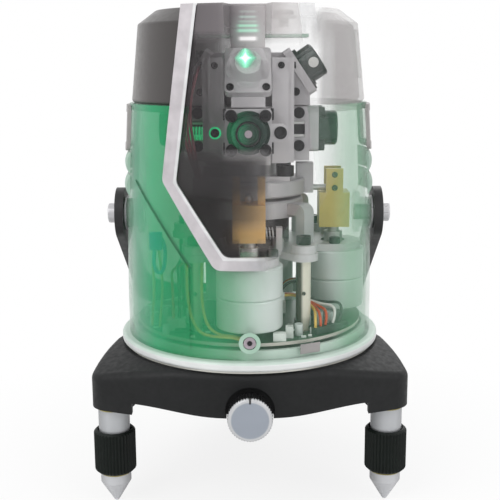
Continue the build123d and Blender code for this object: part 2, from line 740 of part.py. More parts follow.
def fascia_inner():
    """Inner outline of the bezel."""
    mid = HOUSING_Z + FASCIA_MID_H
    low = HOUSING_Z + FASCIA_LOW_H + RAIL_FOOT_W
    top_half = FASCIA_TOP_HALF - RAIL_TOP_W
    return fascia_face(top_half, FASCIA_MID_HALF - RAIL_MID_W, mid, FASCIA_LOW_HALF - RAIL_LOW_W, low)


def panel_opening():
    """Opening behind the front panel, through the housing and the cap."""
    face = offset(fascia_inner(), -PANEL_LAP)
    below_roof = front_rectangle(SKIN_R, HOUSING_Z, CAP_ROOF_Z - CAP_ROOF)
    return front_prism(face & below_roof, PEDESTAL_R, SKIN_R)


def window_face():
    """Side window in the front view, before it is turned to its side."""
    return front_rectangle(WINDOW_HALF, HOUSING_Z + WINDOW_LOW_H, HOUSING_Z + WINDOW_HIGH_H)


def cap_window_face():
    """Window of an upright line in the cap."""
    return front_rectangle(CAP_WINDOW_HALF, CAP_Z + CAP_WINDOW_LOW_H, CAP_Z + CAP_WINDOW_HIGH_H)


def turntable():
    """Pale rim and floor with the spindle, the track ring and the seats of the chassis."""
    plate = disc(RIM_R, TABLE_Z, HOUSING_Z)
    rims = [edge for edge in plate.edges() if edge.geom_type == GeomType.CIRCLE]
    body = fillet(rims, RIM_EDGE)
    spigot_r = HOUSING_LOW_R - HOUSING_WALL - COVER_GAP
    body += ring(spigot_r, spigot_r - SPIGOT_T, FLOOR_Z, HOUSING_Z + SPIGOT_H)
    body -= disc(spigot_r - SPIGOT_T, FLOOR_Z, HOUSING_Z + SPIGOT_H)
    body += disc(SPINDLE_R, BUSH_TOP + SPINDLE_FOOT_GAP, TABLE_Z)
    body += ring(TRACK_R + TRACK_W / 2, TRACK_R - TRACK_W / 2, TRACK_Z, TABLE_Z)
    for at in COLUMN_PLACES:
        body += ring(SOCKET_R, COLUMN_STUB_R + SEAT_FIT, FLOOR_Z, FLOOR_Z + SOCKET_H, at)
    for at in BOARD_POSTS:
        body += disc(BOARD_POST_R, FLOOR_Z, BOARD_Z, at)
    return body


def door_opening(shrink):
    """Prism of the battery door's outline at the back."""
    face = front_rectangle(DOOR_HALF - shrink, DOOR_Z + shrink, DOOR_TOP - shrink)
    return Rot(0, 0, 180) * front_prism(face, BATTERY_BACK, SKIN_R)


def hinge_y():
    """Battery door's hinge axis behind the main axis."""
    return housing_radius(DOOR_LOW_H) + KNUCKLE_R + COVER_GAP


def crease():
    """Shallow groove beside the bezel on one side of the housing's front."""
    side = (CREASE_SIDE[0], HOUSING_Z + CREASE_SIDE[1])
    knee = (CREASE_KNEE[0], HOUSING_Z + CREASE_KNEE[1])
    foot_end = (CREASE_KNEE[0], HOUSING_Z + SPIGOT_H)
    path = Polyline(side, knee, foot_end)
    trace = offset(path, CREASE_W / 2, side=Side.BOTH)
    return front_prism(make_face(trace), PEDESTAL_R, SKIN_R)


def housing():
    """Tinted shell with its windows, door opening, handle holes and screw boss."""
    body = housing_band(-HOUSING_WALL, 0)
    deep = housing_band(-CREASE_DEPTH, CUT)
    groove = mirror(crease(), Plane.YZ) & deep
    body -= groove
    body -= mirror(groove, Plane.YZ)
    boss_z = HOUSING_Z + SCREW_BOSS_H
    skin = housing_radius(SCREW_BOSS_H)
    body += bar_y(SCREW_BOSS_R, -skin - SCREW_BOSS_L, -skin + HOUSING_WALL / 2, 0, boss_z)
    body -= bar_y(M3[0] + COVER_GAP, -skin - SCREW_BOSS_L - CUT, -skin, 0, boss_z)
    body -= bar_y(M3[2] + SEAT_FIT, -skin - CUT, -skin + HOUSING_WALL + CUT, 0, boss_z)
    body -= panel_opening()
    for angle in WINDOW_ANGLES.values():
        body -= Rot(0, 0, angle) * front_prism(window_face(), PEDESTAL_R, SKIN_R)
    body -= bar_x(HANDLE_BOSS_R + SEAT_FIT, -SKIN_R, SKIN_R, 0, PIVOT_Z)
    body -= door_opening(0)
    for side in (-1, 1):
        body += hinge_lug(side)
    return body


def hinge_lug(side):
    """Lug beside a hinge knuckle of the battery door."""
    start = KNUCKLE_IN_X + KNUCKLE_L + FACE_GAP
    end = start + LUG_L
    root = math.sqrt(housing_radius(DOOR_LOW_H) ** 2 - end ** 2) - HOUSING_WALL / 2
    lug = bar_x(KNUCKLE_R, start, end, hinge_y(), DOOR_Z)
    lug += block((start, end), (root, hinge_y()), (DOOR_Z - KNUCKLE_R, DOOR_Z - COVER_GAP))
    lug -= bar_x(HINGE_PIN_R + RUN_FIT, start - CUT, end + CUT, hinge_y(), DOOR_Z)
    if side < 0:
        return mirror(lug, Plane.YZ)
    return lug


def battery_door():
    """Back door cut from the housing's own curve, with its knuckles, pins and finger tab."""
    body = housing_band(-HOUSING_WALL, 0) & door_opening(DOOR_GAP)
    skin = housing_radius(DOOR_LOW_H)
    for side in (-1, 1):
        ends = sorted((side * KNUCKLE_IN_X, side * (KNUCKLE_IN_X + KNUCKLE_L)))
        root = math.sqrt(skin ** 2 - (KNUCKLE_IN_X + KNUCKLE_L) ** 2) - HOUSING_WALL / 2
        body += bar_x(KNUCKLE_R, ends[0], ends[1], hinge_y(), DOOR_Z)
        body += block(ends, (root, hinge_y()), (DOOR_Z + DOOR_GAP, DOOR_Z + KNUCKLE_R))
        pin_ends = sorted((side * KNUCKLE_IN_X, side * (KNUCKLE_IN_X + KNUCKLE_L + LUG_L)))
        body += bar_x(HINGE_PIN_R, pin_ends[0], pin_ends[1], hinge_y(), DOOR_Z)
    top = DOOR_TOP - DOOR_GAP
    tab_root = housing_radius(DOOR_HIGH_H) - HOUSING_WALL
    body += block((-TAB_HALF, TAB_HALF), (tab_root, tab_root + HOUSING_WALL + TAB_OUT), (top - TAB_H, top))
    return body


def battery_pack():
    """Rechargeable pack that stands on the turntable behind the works."""
    pack = block((-BATTERY_HALF, BATTERY_HALF), (BATTERY_FRONT, BATTERY_BACK), (FLOOR_Z, BATTERY_TOP))
    return fillet(pack.edges().filter_by(Axis.Z), BATTERY_EDGE)


def cap_inside(wall, roof_z):
    """Solid inside the cap's wall and roof."""
    return turned(
        (0, CAP_Z - CUT),
        (CAP_R - wall, CAP_Z - CUT),
        (CAP_R - wall, CAP_Z),
        (CAP_SHOULDER_R - wall, CAP_Z + CAP_SHOULDER_H - wall / 2),
        (CAP_FLAT_R - wall / 2, roof_z),
        (0, roof_z),
    )


def cap_outside():
    """Solid of the cap before it is hollowed."""
    shoulder = (CAP_SHOULDER_R, CAP_Z + CAP_SHOULDER_H)
    body = turned((0, CAP_Z), (CAP_R, CAP_Z), shoulder, (CAP_FLAT_R, CAP_TOP), (0, CAP_TOP))
    circles = body.edges().filter_by(GeomType.CIRCLE).sort_by(Axis.Z)
    return fillet(circles, CAP_EDGE)


def recess_solid(grow):
    """Tapered window recess in the top of the front panel, grown by a wall."""
    low = FASCIA_TOP - RECESS_H - grow
    faces = []
    front = cap_radius(0) + BEZEL_T + CUT
    shapes = [
        (front, RECESS_TOP_HALF + grow, RECESS_LOW_HALF + grow, low),
        (RECESS_DEPTH_Y - grow, RECESS_FLOOR_HALF + grow, RECESS_FLOOR_HALF + grow, low + RECESS_FLOOR_STEP),
    ]
    for distance, top_half, low_half, foot_z in shapes:
        high = FASCIA_TOP + CUT
        outline = Polyline((-low_half, foot_z), (low_half, foot_z), (top_half, high), (-top_half, high), close=True)
        faces.append(Plane.XZ.offset(distance) * make_face(outline))
    return loft(faces, ruled=True)


def recess_glass_face():
    """Glass at the back of the recess, in the front view."""
    margin = RECESS_WALL
    low = FASCIA_TOP - RECESS_H + RECESS_FLOOR_STEP + margin
    return front_rectangle(RECESS_FLOOR_HALF - margin, low, CAP_ROOF_Z - margin)


def cap():
    """Dark cap with its roof, spigot, key board posts and window slots."""
    tall = turned((0, CAP_Z), (CAP_R, CAP_Z), (cap_radius(CAP_H), CAP_TOP), (0, CAP_TOP))
    front = front_prism(offset(fascia_outer(), -COVER_GAP), PEDESTAL_R, SKIN_R)
    body = cap_outside() + (tall & front)
    body -= cap_inside(CAP_WALL, CAP_ROOF_Z)
    spigot_r = HOUSING_TOP_R - HOUSING_WALL - COVER_GAP
    body += ring(spigot_r, spigot_r - CAP_SPIGOT_T, CAP_Z - CAP_SPIGOT_H, CAP_Z + CAP_SPIGOT_T)
    for side in (-1, 1):
        body += disc(KEY_POST_R, KEY_BOARD_TOP, CAP_ROOF_Z + CAP_ROOF / 2, (side * KEY_POST_X, BUTTON_Y))
    for x in BUTTON_PLACES.values():
        body -= disc(BUTTON_R + COVER_GAP, CAP_ROOF_Z - CUT, CAP_TOP + CUT, (x, BUTTON_Y))
    body -= panel_opening()
    body -= recess_solid(RECESS_WALL + COVER_GAP)
    for angle in WINDOW_ANGLES.values():
        body -= Rot(0, 0, angle) * front_prism(cap_window_face(), PEDESTAL_R, SKIN_R)
    return body


def bezel():
    """Bright rails and foot that frame the front panel."""
    face = fascia_outer() - fascia_inner()
    return fascia_band(FASCIA_LIFT, FASCIA_LIFT + BEZEL_T) & front_prism(face, PEDESTAL_R, SKIN_R)


def front_panel():
    """Smoked panel with the tapered window recess at its top."""
    face = offset(fascia_inner(), -COVER_GAP)
    panel = fascia_band(FASCIA_LIFT, FASCIA_LIFT + PANEL_T) & front_prism(face, PEDESTAL_R, SKIN_R)
    sink = FASCIA_LIFT + PANEL_T / 2
    reach = cap_radius(FASCIA_TOP - CAP_Z) + COVER_GAP + sink
    foot_r = HOUSING_TOP_R + sink
    tray_limit = turned((0, HOUSING_TOP), (foot_r, HOUSING_TOP), (reach, FASCIA_TOP), (0, FASCIA_TOP))
    panel += recess_solid(RECESS_WALL) & tray_limit
    panel -= recess_solid(0)
    return panel - front_prism(recess_glass_face(), PEDESTAL_R, RECESS_DEPTH_Y + CUT)


def window_frames():
    """Raised frames of the side and back windows."""
    hole = window_face()
    face = offset(hole, FRAME_W, kind=Kind.ARC) - hole
    frame = housing_band(FASCIA_LIFT, FASCIA_LIFT + FRAME_T) & front_prism(face, PEDESTAL_R, SKIN_R)
    return group(around(frame, WINDOW_ANGLES.values()))


def window_glass():
    """Panes of the side windows, the cap windows and the front recess."""
    side = housing_band(-HOUSING_WALL, 0)
    side &= front_prism(offset(window_face(), -COVER_GAP / 2), PEDESTAL_R, SKIN_R)
    high = cap_outside() - cap_inside(CAP_WALL, CAP_ROOF_Z)
    high &= front_prism(offset(cap_window_face(), -COVER_GAP / 2), PEDESTAL_R, SKIN_R)
    pane = offset(recess_glass_face(), -COVER_GAP / 2)
    front = front_prism(pane, RECESS_DEPTH_Y - RECESS_WALL, RECESS_DEPTH_Y - RECESS_WALL / 4)
    angles = WINDOW_ANGLES.values()
    return group(around(side, angles) + around(high, angles) + [front])


def grip_pads():
    """Rounded rubber ribs on both sides of the housing."""
    pads = []
    limit = front_prism(front_rectangle(GRIP_HALF, HOUSING_Z, HOUSING_TOP), PEDESTAL_R, SKIN_R)
    for low in (GRIP_LOW_H, GRIP_HIGH_H - GRIP_H):
        high = low + GRIP_H
        middle = (low + high) / 2
        ends = [(housing_radius(h) + FASCIA_LIFT, 0, HOUSING_Z + h) for h in (low, high)]
        crest = (housing_radius(middle) + FASCIA_LIFT + GRIP_BULGE, 0, HOUSING_Z + middle)
        rib = revolve(make_face([ThreePointArc(ends[0], crest, ends[1]), Line(ends[1], ends[0])]), Axis.Z)
        pads += around(rib & limit, (90, 270))
    return group(pads)


def front_screw():
    """Socket screw in the housing's front boss."""
    skin = housing_radius(SCREW_BOSS_H)
    seat = Pos(0, -skin, HOUSING_Z + SCREW_BOSS_H) * Rot(90, 0, 0)
    return seat * cap_screw((M3[0], SCREW_BOSS_L, M3[2]), HOUSING_WALL + CUT)


def button(x):
    """Push button with the flange that holds it under the cap's roof."""
    at = (x, BUTTON_Y)
    flange_top = CAP_ROOF_Z - RUN_FIT
    body = disc(BUTTON_R, flange_top, CAP_TOP + BUTTON_PROUD, at)
    body = fillet(body.edges().sort_by(Axis.Z)[-1:], BUTTON_PROUD / 2)
    body += disc(BUTTON_R + BUTTON_FLANGE, flange_top - BUTTON_FLANGE_T, flange_top, at)
    return body + disc(BUTTON_STEM_R, flange_top - BUTTON_FLANGE_T - BUTTON_STEM_L, flange_top, at)


def key_board():
    """Small circuit board under the buttons."""
    y = (BUTTON_Y - KEY_BOARD_W / 2, BUTTON_Y + KEY_BOARD_W / 2)
    return block((-KEY_BOARD_HALF, KEY_BOARD_HALF), y, (KEY_BOARD_TOP - KEY_BOARD_T, KEY_BOARD_TOP))


# Bail handle
def boss_end_x():
    """Outer end of a handle boss, just proud of the housing under its washer."""
    return housing_radius(PIVOT_H - WASHER_R) + HANDLE_BOSS_PROUD


def handle_in_x():
    """Inner face of the handle's arms."""
    return boss_end_x() + WASHER_T + FACE_GAP


def bail_handle():
    """Strap handle: two round ended arms and a cross bar, leaning back at rest."""
    inner_x = handle_in_x()
    outer_x = inner_x + HANDLE_T
    back = HANDLE_REACH
    front = HANDLE_END_R + HANDLE_CORNER
    middle = Pos(0, (back - front) / 2)
    outer = middle * RectangleRounded(2 * outer_x, back + front, HANDLE_CORNER)
    inner_size = (2 * inner_x, back + front - 2 * HANDLE_T)
    strap = outer - middle * RectangleRounded(*inner_size, HANDLE_CORNER - HANDLE_T)
    strap -= Pos(0, -front / 2 - HANDLE_END_R / 2) * Rectangle(4 * outer_x, front - HANDLE_END_R)
    body = Pos(0, 0, -HANDLE_END_R) * extrude(strap, 2 * HANDLE_END_R)
    side = make_hull(
        [Circle(HANDLE_END_R).edge(), (Pos(back - HANDLE_BAR_HALF, 0) * Circle(HANDLE_BAR_HALF)).edge()]
    )
    side += Pos(back - HANDLE_BAR_HALF / 2, 0) * Rectangle(HANDLE_BAR_HALF, 2 * HANDLE_BAR_HALF)
    body &= extrude(Plane.YZ.offset(-outer_x - CUT) * side, 2 * outer_x + 2 * CUT)
    body -= bar_x(PIVOT_R + RUN_FIT, -outer_x - CUT, outer_x + CUT, 0, 0)
    return Pos(0, 0, PIVOT_Z) * Rot(-HANDLE_REST, 0, 0) * body


def handle_bosses():
    """Bosses in the housing's sides that carry the handle's pivots."""
    outer_x = boss_end_x()
    body = bar_x(HANDLE_BOSS_R, HANDLE_BOSS_IN_X, outer_x, 0, PIVOT_Z)
    flange_end = HANDLE_BOSS_IN_X + HANDLE_BOSS_FLANGE_T
    body += bar_x(HANDLE_BOSS_FLANGE_R, HANDLE_BOSS_IN_X, flange_end, 0, PIVOT_Z)
    body -= bar_x(PIVOT_R + SEAT_FIT, HANDLE_BOSS_IN_X - CUT, outer_x + CUT, 0, PIVOT_Z)
    return group(around(body, (0, 180)))


def handle_pivots():
    """Pivot screws and the friction washers under the handle's arms."""
    outer_x = handle_in_x() + HANDLE_T + FACE_GAP
    screw = bar_x(PIVOT_R, HANDLE_BOSS_IN_X, outer_x, 0, PIVOT_Z)
    head = bar_x(PIVOT_HEAD_R, outer_x, outer_x + PIVOT_HEAD_T, 0, PIVOT_Z)
    screw += fillet(head.edges().sort_by(Axis.X)[-1:], RIM_EDGE / 2)
    washer_end = boss_end_x() + WASHER_T
    washer = bar_x(WASHER_R, boss_end_x(), washer_end, 0, PIVOT_Z)
    washer -= bar_x(PIVOT_R + SEAT_FIT, washer_end - CUT, washer_end + CUT, 0, PIVOT_Z)
    return group(around(screw, (0, 180)) + around(washer, (0, 180)))


# Chassis
def drive_places():
    """Axes of the front and the right lead screw."""
    return {"front": (0.0, -DRIVE_R), "right": (DRIVE_R, 0.0)}


def motor_screw_places():
    """Two fixing screws beside each lead screw."""
    places = []
    for x, y in drive_places().values():
        step = (-y / DRIVE_R * MOTOR_SCREW_SPREAD, x / DRIVE_R * MOTOR_SCREW_SPREAD)
        places += [(x + step[0], y + step[1]), (x - step[0], y - step[1])]
    return places


def chassis_columns():
    """Upright pins with tapered feet that carry the chassis plate."""
    pin = turned(
        (0, FLOOR_Z),
        (COLUMN_STUB_R, FLOOR_Z),
        (COLUMN_STUB_R, FLOOR_Z + COLUMN_TAPER_LOW),
        (COLUMN_R, FLOOR_Z + COLUMN_TAPER_HIGH),
        (COLUMN_R, PLATE_Z),
        (0, PLATE_Z),
    )
    pin -= bar_y(COLUMN_EYE_R, -COLUMN_R - CUT, COLUMN_R + CUT, 0, FLOOR_Z + COLUMN_EYE_H)
    pin -= screw_hole(M4, PLATE_Z - 2 * M4[1], PLATE_Z + CUT, (0, 0))
    return group([Pos(x, y) * pin for x, y in COLUMN_PLACES])


def main_board():
    """Green circuit board under the motors, clear of the columns and the battery."""
    board = Circle(BOARD_R) & Pos(0, BOARD_BACK - BOARD_R) * Rectangle(2 * BOARD_R, 2 * BOARD_R)
    for x, y in COLUMN_PLACES:
        board -= Pos(x, y) * Circle(COLUMN_STUB_R + BOARD_AIR)
    return Pos(0, 0, BOARD_Z) * extrude(board, BOARD_T)


CONNECTORS = {
    "right": (15.8, 0.0, 6.0, 8.5),
    "left": (-35.5, -32.0, 9.0, 6.0),
    "side": (18.8, -47.0, 3.6, 4.0),
}
CONNECTOR_H = 5.5
LOW_CONNECTOR = (14.0, -52.3, 6.0, 3.6)
LOW_CONNECTOR_H = 3.8
HEADER_FROM = (31.5, -41.5)
HEADER_TO = (43.5, -31.0)
HEADER_W = 4.5
HEADER_END = 1.5
HEADER_H = 3.0


def wire_header():
    """Low header along the edge of the board, where the front motor's wires fan out."""
    (x0, y0), (x1, y1) = HEADER_FROM, HEADER_TO
    face = Rectangle(math.dist(HEADER_FROM, HEADER_TO) + 2 * HEADER_END, HEADER_W)
    turn = math.degrees(math.atan2(y1 - y0, x1 - x0))
    return Pos((x0 + x1) / 2, (y0 + y1) / 2, BOARD_TOP) * Rot(0, 0, turn) * extrude(face, HEADER_H)


def board_connectors():
    """White wire connectors on the main board."""
    pieces = [wire_header()]
    sizes = [(place, CONNECTOR_H) for place in CONNECTORS.values()]
    for (x, y, width, depth), height in sizes + [(LOW_CONNECTOR, LOW_CONNECTOR_H)]:
        sides = ((x - width / 2, x + width / 2), (y - depth / 2, y + depth / 2))
        pieces.append(block(*sides, (BOARD_TOP, BOARD_TOP + height)))
    return group(pieces)


def can(bottom, height):
    """Round can with broken edges."""
    body = disc(MOTOR_R, bottom, bottom + height)
    return fillet(body.edges().filter_by(GeomType.CIRCLE), CAN_EDGE)


TERMINAL_ANGLES = {"front": 40.0, "right": 180.0}


def motor_cans():
    """Lower cans of both drives, with their wire terminals."""
    pieces = []
    for name, at in drive_places().items():
        out = (MOTOR_R - CUT, MOTOR_R + TERMINAL_OUT)
        terminal = block(out, (-TERMINAL_W / 2, TERMINAL_W / 2), (TERMINAL_Z, TERMINAL_Z + TERMINAL_H))
        body = can(MOTOR_Z, GEARBOX_Z - MOTOR_Z) + Rot(0, 0, TERMINAL_ANGLES[name]) * terminal
        pieces.append(Pos(*at) * body)
    return group(pieces)


def gearbox_cans():
    """Upper cans of both drives, under the chassis plate."""
    body = can(GEARBOX_Z, PLATE_Z - GEARBOX_Z)
    body -= disc(DRIVE_STUB_R + RUN_FIT, PLATE_Z - DRIVE_STUB_L - ROLL_GAP, PLATE_Z + CUT)
    pieces = []
    for at in drive_places().values():
        piece = Pos(*at) * body
        for screw_at in motor_screw_places():
            piece -= screw_hole(M3, PLATE_Z - 2 * M3[1], PLATE_Z + CUT, screw_at)
        pieces.append(piece)
    return group(pieces)


def chassis_plate():
    """Plate that carries the motors, the gimbal and the stops."""
    face = Circle(PLATE_R)
    lobes = [(at, COLUMN_LOBE_R) for at in COLUMN_PLACES]
    lobes += [(at, MOTOR_LOBE_R) for at in drive_places().values()]
    lobes += [(at, STOP_R + CUT) for at in STOP_PLACES]
    for (x, y), radius in lobes:
        length = math.hypot(x, y)
        arm = Pos(length / 2, 0) * Rectangle(length, 2 * radius) + Pos(length, 0) * Circle(radius)
        face += Rot(0, 0, math.degrees(math.atan2(y, x))) * arm
    face -= Circle(PLATE_HOLE_R)
    body = Pos(0, 0, PLATE_Z) * extrude(face, PLATE_T)
    boss_top = PLATE_TOP + COLUMN_BOSS_H
    for at in COLUMN_PLACES:
        body += disc(COLUMN_BOSS_R, PLATE_TOP, boss_top, at)
        body -= screw_hole(M4, PLATE_Z - CUT, boss_top + CUT, at)
    for at in STOP_PLACES:
        body += disc(STOP_R, PLATE_TOP, PLATE_TOP + STOP_H, at)
        body -= screw_hole(M3, PLATE_Z - CUT, PLATE_TOP + STOP_H + CUT, at)
    for at in drive_places().values():
        body -= disc(SCREW_HUB_R + HUB_AIR, PLATE_Z - CUT, PLATE_TOP + CUT, at)
    for at in motor_screw_places():
        body -= screw_hole(M3, PLATE_Z - CUT, PLATE_TOP + CUT, at)
    post_y = (SPRING_AXIS_Y - SPRING_POST_HALF, SPRING_AXIS_Y + SPRING_POST_HALF)
    post_z = (PLATE_TOP - PLATE_T / 2, SPRING_Z + SPRING_R + SPRING_WIRE_R)
    for start in (SPRING_START_X - SPRING_POST_T, SPRING_END_X):
        body += block((start, start + SPRING_POST_T), post_y, post_z)
    pin_ends = (SPRING_START_X - SPRING_POST_T - CUT, SPRING_END_X + SPRING_POST_T + CUT)
    return body - bar_x(SPRING_PIN_R + SEAT_FIT, *pin_ends, SPRING_AXIS_Y, SPRING_Z)


def chassis_screws():
    """Socket screws of the columns, motors and stops, and the pin inside the coil spring."""
    pieces = []
    for x, y in COLUMN_PLACES:
        length = PLATE_T + COLUMN_BOSS_H + M4[1]
        pieces.append(Pos(x, y, PLATE_TOP + COLUMN_BOSS_H) * cap_screw(M4, length))
    for x, y in STOP_PLACES:
        pieces.append(Pos(x, y, PLATE_TOP + STOP_H) * cap_screw(M3, STOP_H))
    for x, y in motor_screw_places():
        pieces.append(Pos(x, y, PLATE_TOP) * cap_screw(M3, PLATE_T + M3[1]))
    pin_length = SPRING_END_X - SPRING_START_X + 2 * SPRING_POST_T
    pin = cap_screw((M3[0], M3[1], SPRING_PIN_R), pin_length)
    pieces.append(Pos(SPRING_END_X + SPRING_POST_T, SPRING_AXIS_Y, SPRING_Z) * Rot(0, 90, 0) * pin)
    return group(pieces)


def coil_spring():
    """Coil round the horizontal pin: one unbroken tube on quarter turn arcs."""
    quarter = SPRING_PITCH / 4
    turns = SPRING_TURNS - 1

    def at(step):
        angle = math.radians(90 * step)
        x = SPRING_START_X + SPRING_PITCH / 2 + quarter * step
        return (x, SPRING_AXIS_Y + SPRING_R * math.cos(angle), SPRING_Z + SPRING_R * math.sin(angle))

    edges = [ThreePointArc(at(i), at(i + 0.5), at(i + 1)) for i in range(4 * turns)]
    samples = [at(i / 6) for i in range(24 * turns + 1)]
    apart = [
        math.dist(samples[i], samples[j])
        for i in range(len(samples))
        for j in range(i + 12, len(samples))
    ]
    print("coil spring least gap", round(min(apart) - 2 * SPRING_WIRE_R, 3), "mm")
    path = Wire(edges)
    section = Plane(origin=path @ 0, z_dir=path % 0) * RegularPolygon(SPRING_WIRE_R, WIRE_SIDES)
    return sweep(section, path=path)


# Gimbal
def gimbal_base():
    """Fixed disc on four curved legs, with the ears of the first tilt axis."""
    body = disc(GIMBAL_R, GIMBAL_Z, GIMBAL_TOP)
    body = chamfer(body.edges().filter_by(GeomType.CIRCLE).sort_by(Axis.Z)[-1:], GIMBAL_EDGE)
    leg_top = GIMBAL_TOP - LEG_TOP_DROP
    out = LEG_IN_R + LEG_T
    outline = Polyline(
        (GIMBAL_R - LEG_T, leg_top),
        (out, leg_top),
        (out, PLATE_TOP),
        (LEG_IN_R, PLATE_TOP),
        (LEG_IN_R, GIMBAL_Z + LEG_TOP_DROP),
        (GIMBAL_R - LEG_T, GIMBAL_Z + LEG_TOP_DROP),
        close=True,
    )
    face = make_face(outline)
    shoulder = face.vertices().sort_by(Axis.X)[-2:].sort_by(Axis.Y)[-1:]
    face = fillet(shoulder, LEG_CORNER)
    leg = extrude(Plane.XZ * face, LEG_HALF, both=True)
    for angle in LEG_ANGLES:
        body += Rot(0, 0, angle) * leg
    for start in (EAR_IN, -EAR_IN - EAR_T):
        ear = bar_x(EAR_R + TRUNNION_R / 3, start, start + EAR_T, 0, TILT_Z)
        ear &= block((start, start + EAR_T), (-EAR_HALF, EAR_HALF), (GIMBAL_Z, TILT_Z + EAR_R))
        ear += block((start, start + EAR_T), (-EAR_R, EAR_R), (GIMBAL_Z, TILT_Z))
        body += ear
    return body - bar_x(TRUNNION_R + RUN_FIT, -EAR_IN - EAR_T - CUT, EAR_IN + EAR_T + CUT, 0, TILT_Z)


def gimbal_cross():
    """Cross with two trunnions on each tilt axis."""
    side = (-CROSS_HALF, CROSS_HALF)
    body = block(side, side, (TILT_Z - CROSS_T / 2, TILT_Z + CROSS_T / 2))
    body += bar_x(TRUNNION_R, -TRUNNION_END, TRUNNION_END, 0, TILT_Z)
    return body + bar_y(TRUNNION_R, -TRUNNION_END, TRUNNION_END, 0, TILT_Z)


# Laser head
def head_disc():
    """Tilting disc with the ears of the second axis, the lever and the pin boss."""
    body = disc(HEAD_R, HEAD_Z, HEAD_TOP)
    body = chamfer(body.edges().filter_by(GeomType.CIRCLE), HEAD_EDGE)
    body += block((HEAD_R - LEVER_HALF, LEVER_OUT), (-LEVER_HALF, LEVER_HALF), (HEAD_Z, HEAD_Z + LEVER_H))
    boss_y = (-PIN_BOSS_OUT, -HEAD_R + PIN_BOSS_HALF)
    body += block((-PIN_BOSS_HALF, PIN_BOSS_HALF), boss_y, (HEAD_Z, HEAD_TOP - HEAD_EDGE))
    ceiling = HEAD_Z + POCKET_DEPTH
    body -= disc(POCKET_R, HEAD_Z - CUT, ceiling)
    for start in (EAR_IN, -EAR_IN - EAR_T):
        ear = bar_y(EAR_R + TRUNNION_R / 3, start, start + EAR_T, 0, TILT_Z)
        ear &= block((-EAR_HALF, EAR_HALF), (start, start + EAR_T), (TILT_Z - EAR_R, ceiling))
        body += ear + block((-EAR_R, EAR_R), (start, start + EAR_T), (TILT_Z, ceiling + CUT / 4))
    body -= bar_y(TRUNNION_R + RUN_FIT, -EAR_IN - EAR_T - CUT, EAR_IN + EAR_T + CUT, 0, TILT_Z)
    body -= bar_y(PIN_R + SEAT_FIT, -PIN_BOSS_OUT - CUT, -PIN_BOSS_OUT + PIN_SINK, 0, TILT_Z)
    body -= bar_x(PIN_R + SEAT_FIT, LEVER_OUT - PIN_SINK, LEVER_OUT + CUT, 0, TILT_Z)
    for at in HEAD_SCREW_PLACES:
        body -= screw_hole(M5, HEAD_Z + FACE_GAP, HEAD_TOP + CUT, at)
    return body


def tilt_pins():
    """Ball ended pins that rest in the two forks."""
    front = bar_y(PIN_R, -DRIVE_R, -PIN_BOSS_OUT + PIN_SINK, 0, TILT_Z)
    front += Pos(0, -DRIVE_R, TILT_Z) * Sphere(BALL_R)
    right = bar_x(PIN_R, LEVER_OUT - PIN_SINK, DRIVE_R, 0, TILT_Z)
    right += Pos(DRIVE_R, 0, TILT_Z) * Sphere(BALL_R)
    return group([front, right])


def tower_wedge():
    """Sloping seat of one fan plate, on the front of the tower."""
    slope = math.radians(FAN_TILT)
    out = (math.cos(slope), math.sin(slope))
    down = (math.sin(slope), -math.cos(slope))
    seat = (FAN_CENTRE_R - out[0] * FAN_PLATE_T / 2, FAN_Z - out[1] * FAN_PLATE_T / 2)
    half = FAN_PLATE_L / 2
    low = (seat[0] + down[0] * half, seat[1] + down[1] * half)
    high = (seat[0] - down[0] * half, seat[1] - down[1] * half)
    foot_z = TOWER_Z + TOWER_BLOCK_H
    face = make_face(Polyline((0, foot_z), (low[0], foot_z), low, high, (0, high[1]), close=True))
    wedge = extrude(Plane.XZ * face, WEDGE_HALF, both=True)
    return Rot(0, 0, -90) * wedge


def head_tower():
    """Four sided tower: pedestal, block, corner posts and sloping seats."""
    block_top = TOWER_Z + TOWER_BLOCK_H
    side = (-TOWER_HALF, TOWER_HALF)
    body = block(side, side, (TOWER_Z, block_top)) + disc(PEDESTAL_R, HEAD_TOP, TOWER_Z)
    wedge = tower_wedge()
    post = block((POST_IN, POST_SIDE), (-POST_OUT, -POST_IN), (TOWER_Z, TOWER_Z + POST_TOP))
    post += mirror(post, Plane.YZ)
    for quarter in around(wedge + post, (0, 90, 180, 270)):
        body += quarter
    for angle in (0, 90, 180, 270):
        slot = block((POST_SIDE, TOWER_HALF + CUT), (-TOWER_SLOT / 2, TOWER_SLOT / 2), (TOWER_Z, block_top))
        body -= Rot(0, 0, angle) * slot
    foot_z = (HEAD_TOP, TOWER_Z)
    for x, y in HEAD_SCREW_PLACES:
        foot_x = sorted((0, x + math.copysign(M5[0] / 2, x)))
        foot_y = sorted((y - M5[0], y + M5[0]))
        body += block(foot_x, foot_y, (HEAD_TOP, HEAD_TOP + PEDESTAL_H / 4))
        body -= disc(M5[0] + COVER_GAP, HEAD_TOP + PEDESTAL_H / 4, foot_z[1], (x, y))
        body -= screw_hole(M5, HEAD_TOP - CUT, foot_z[1], (x, y))
    return body


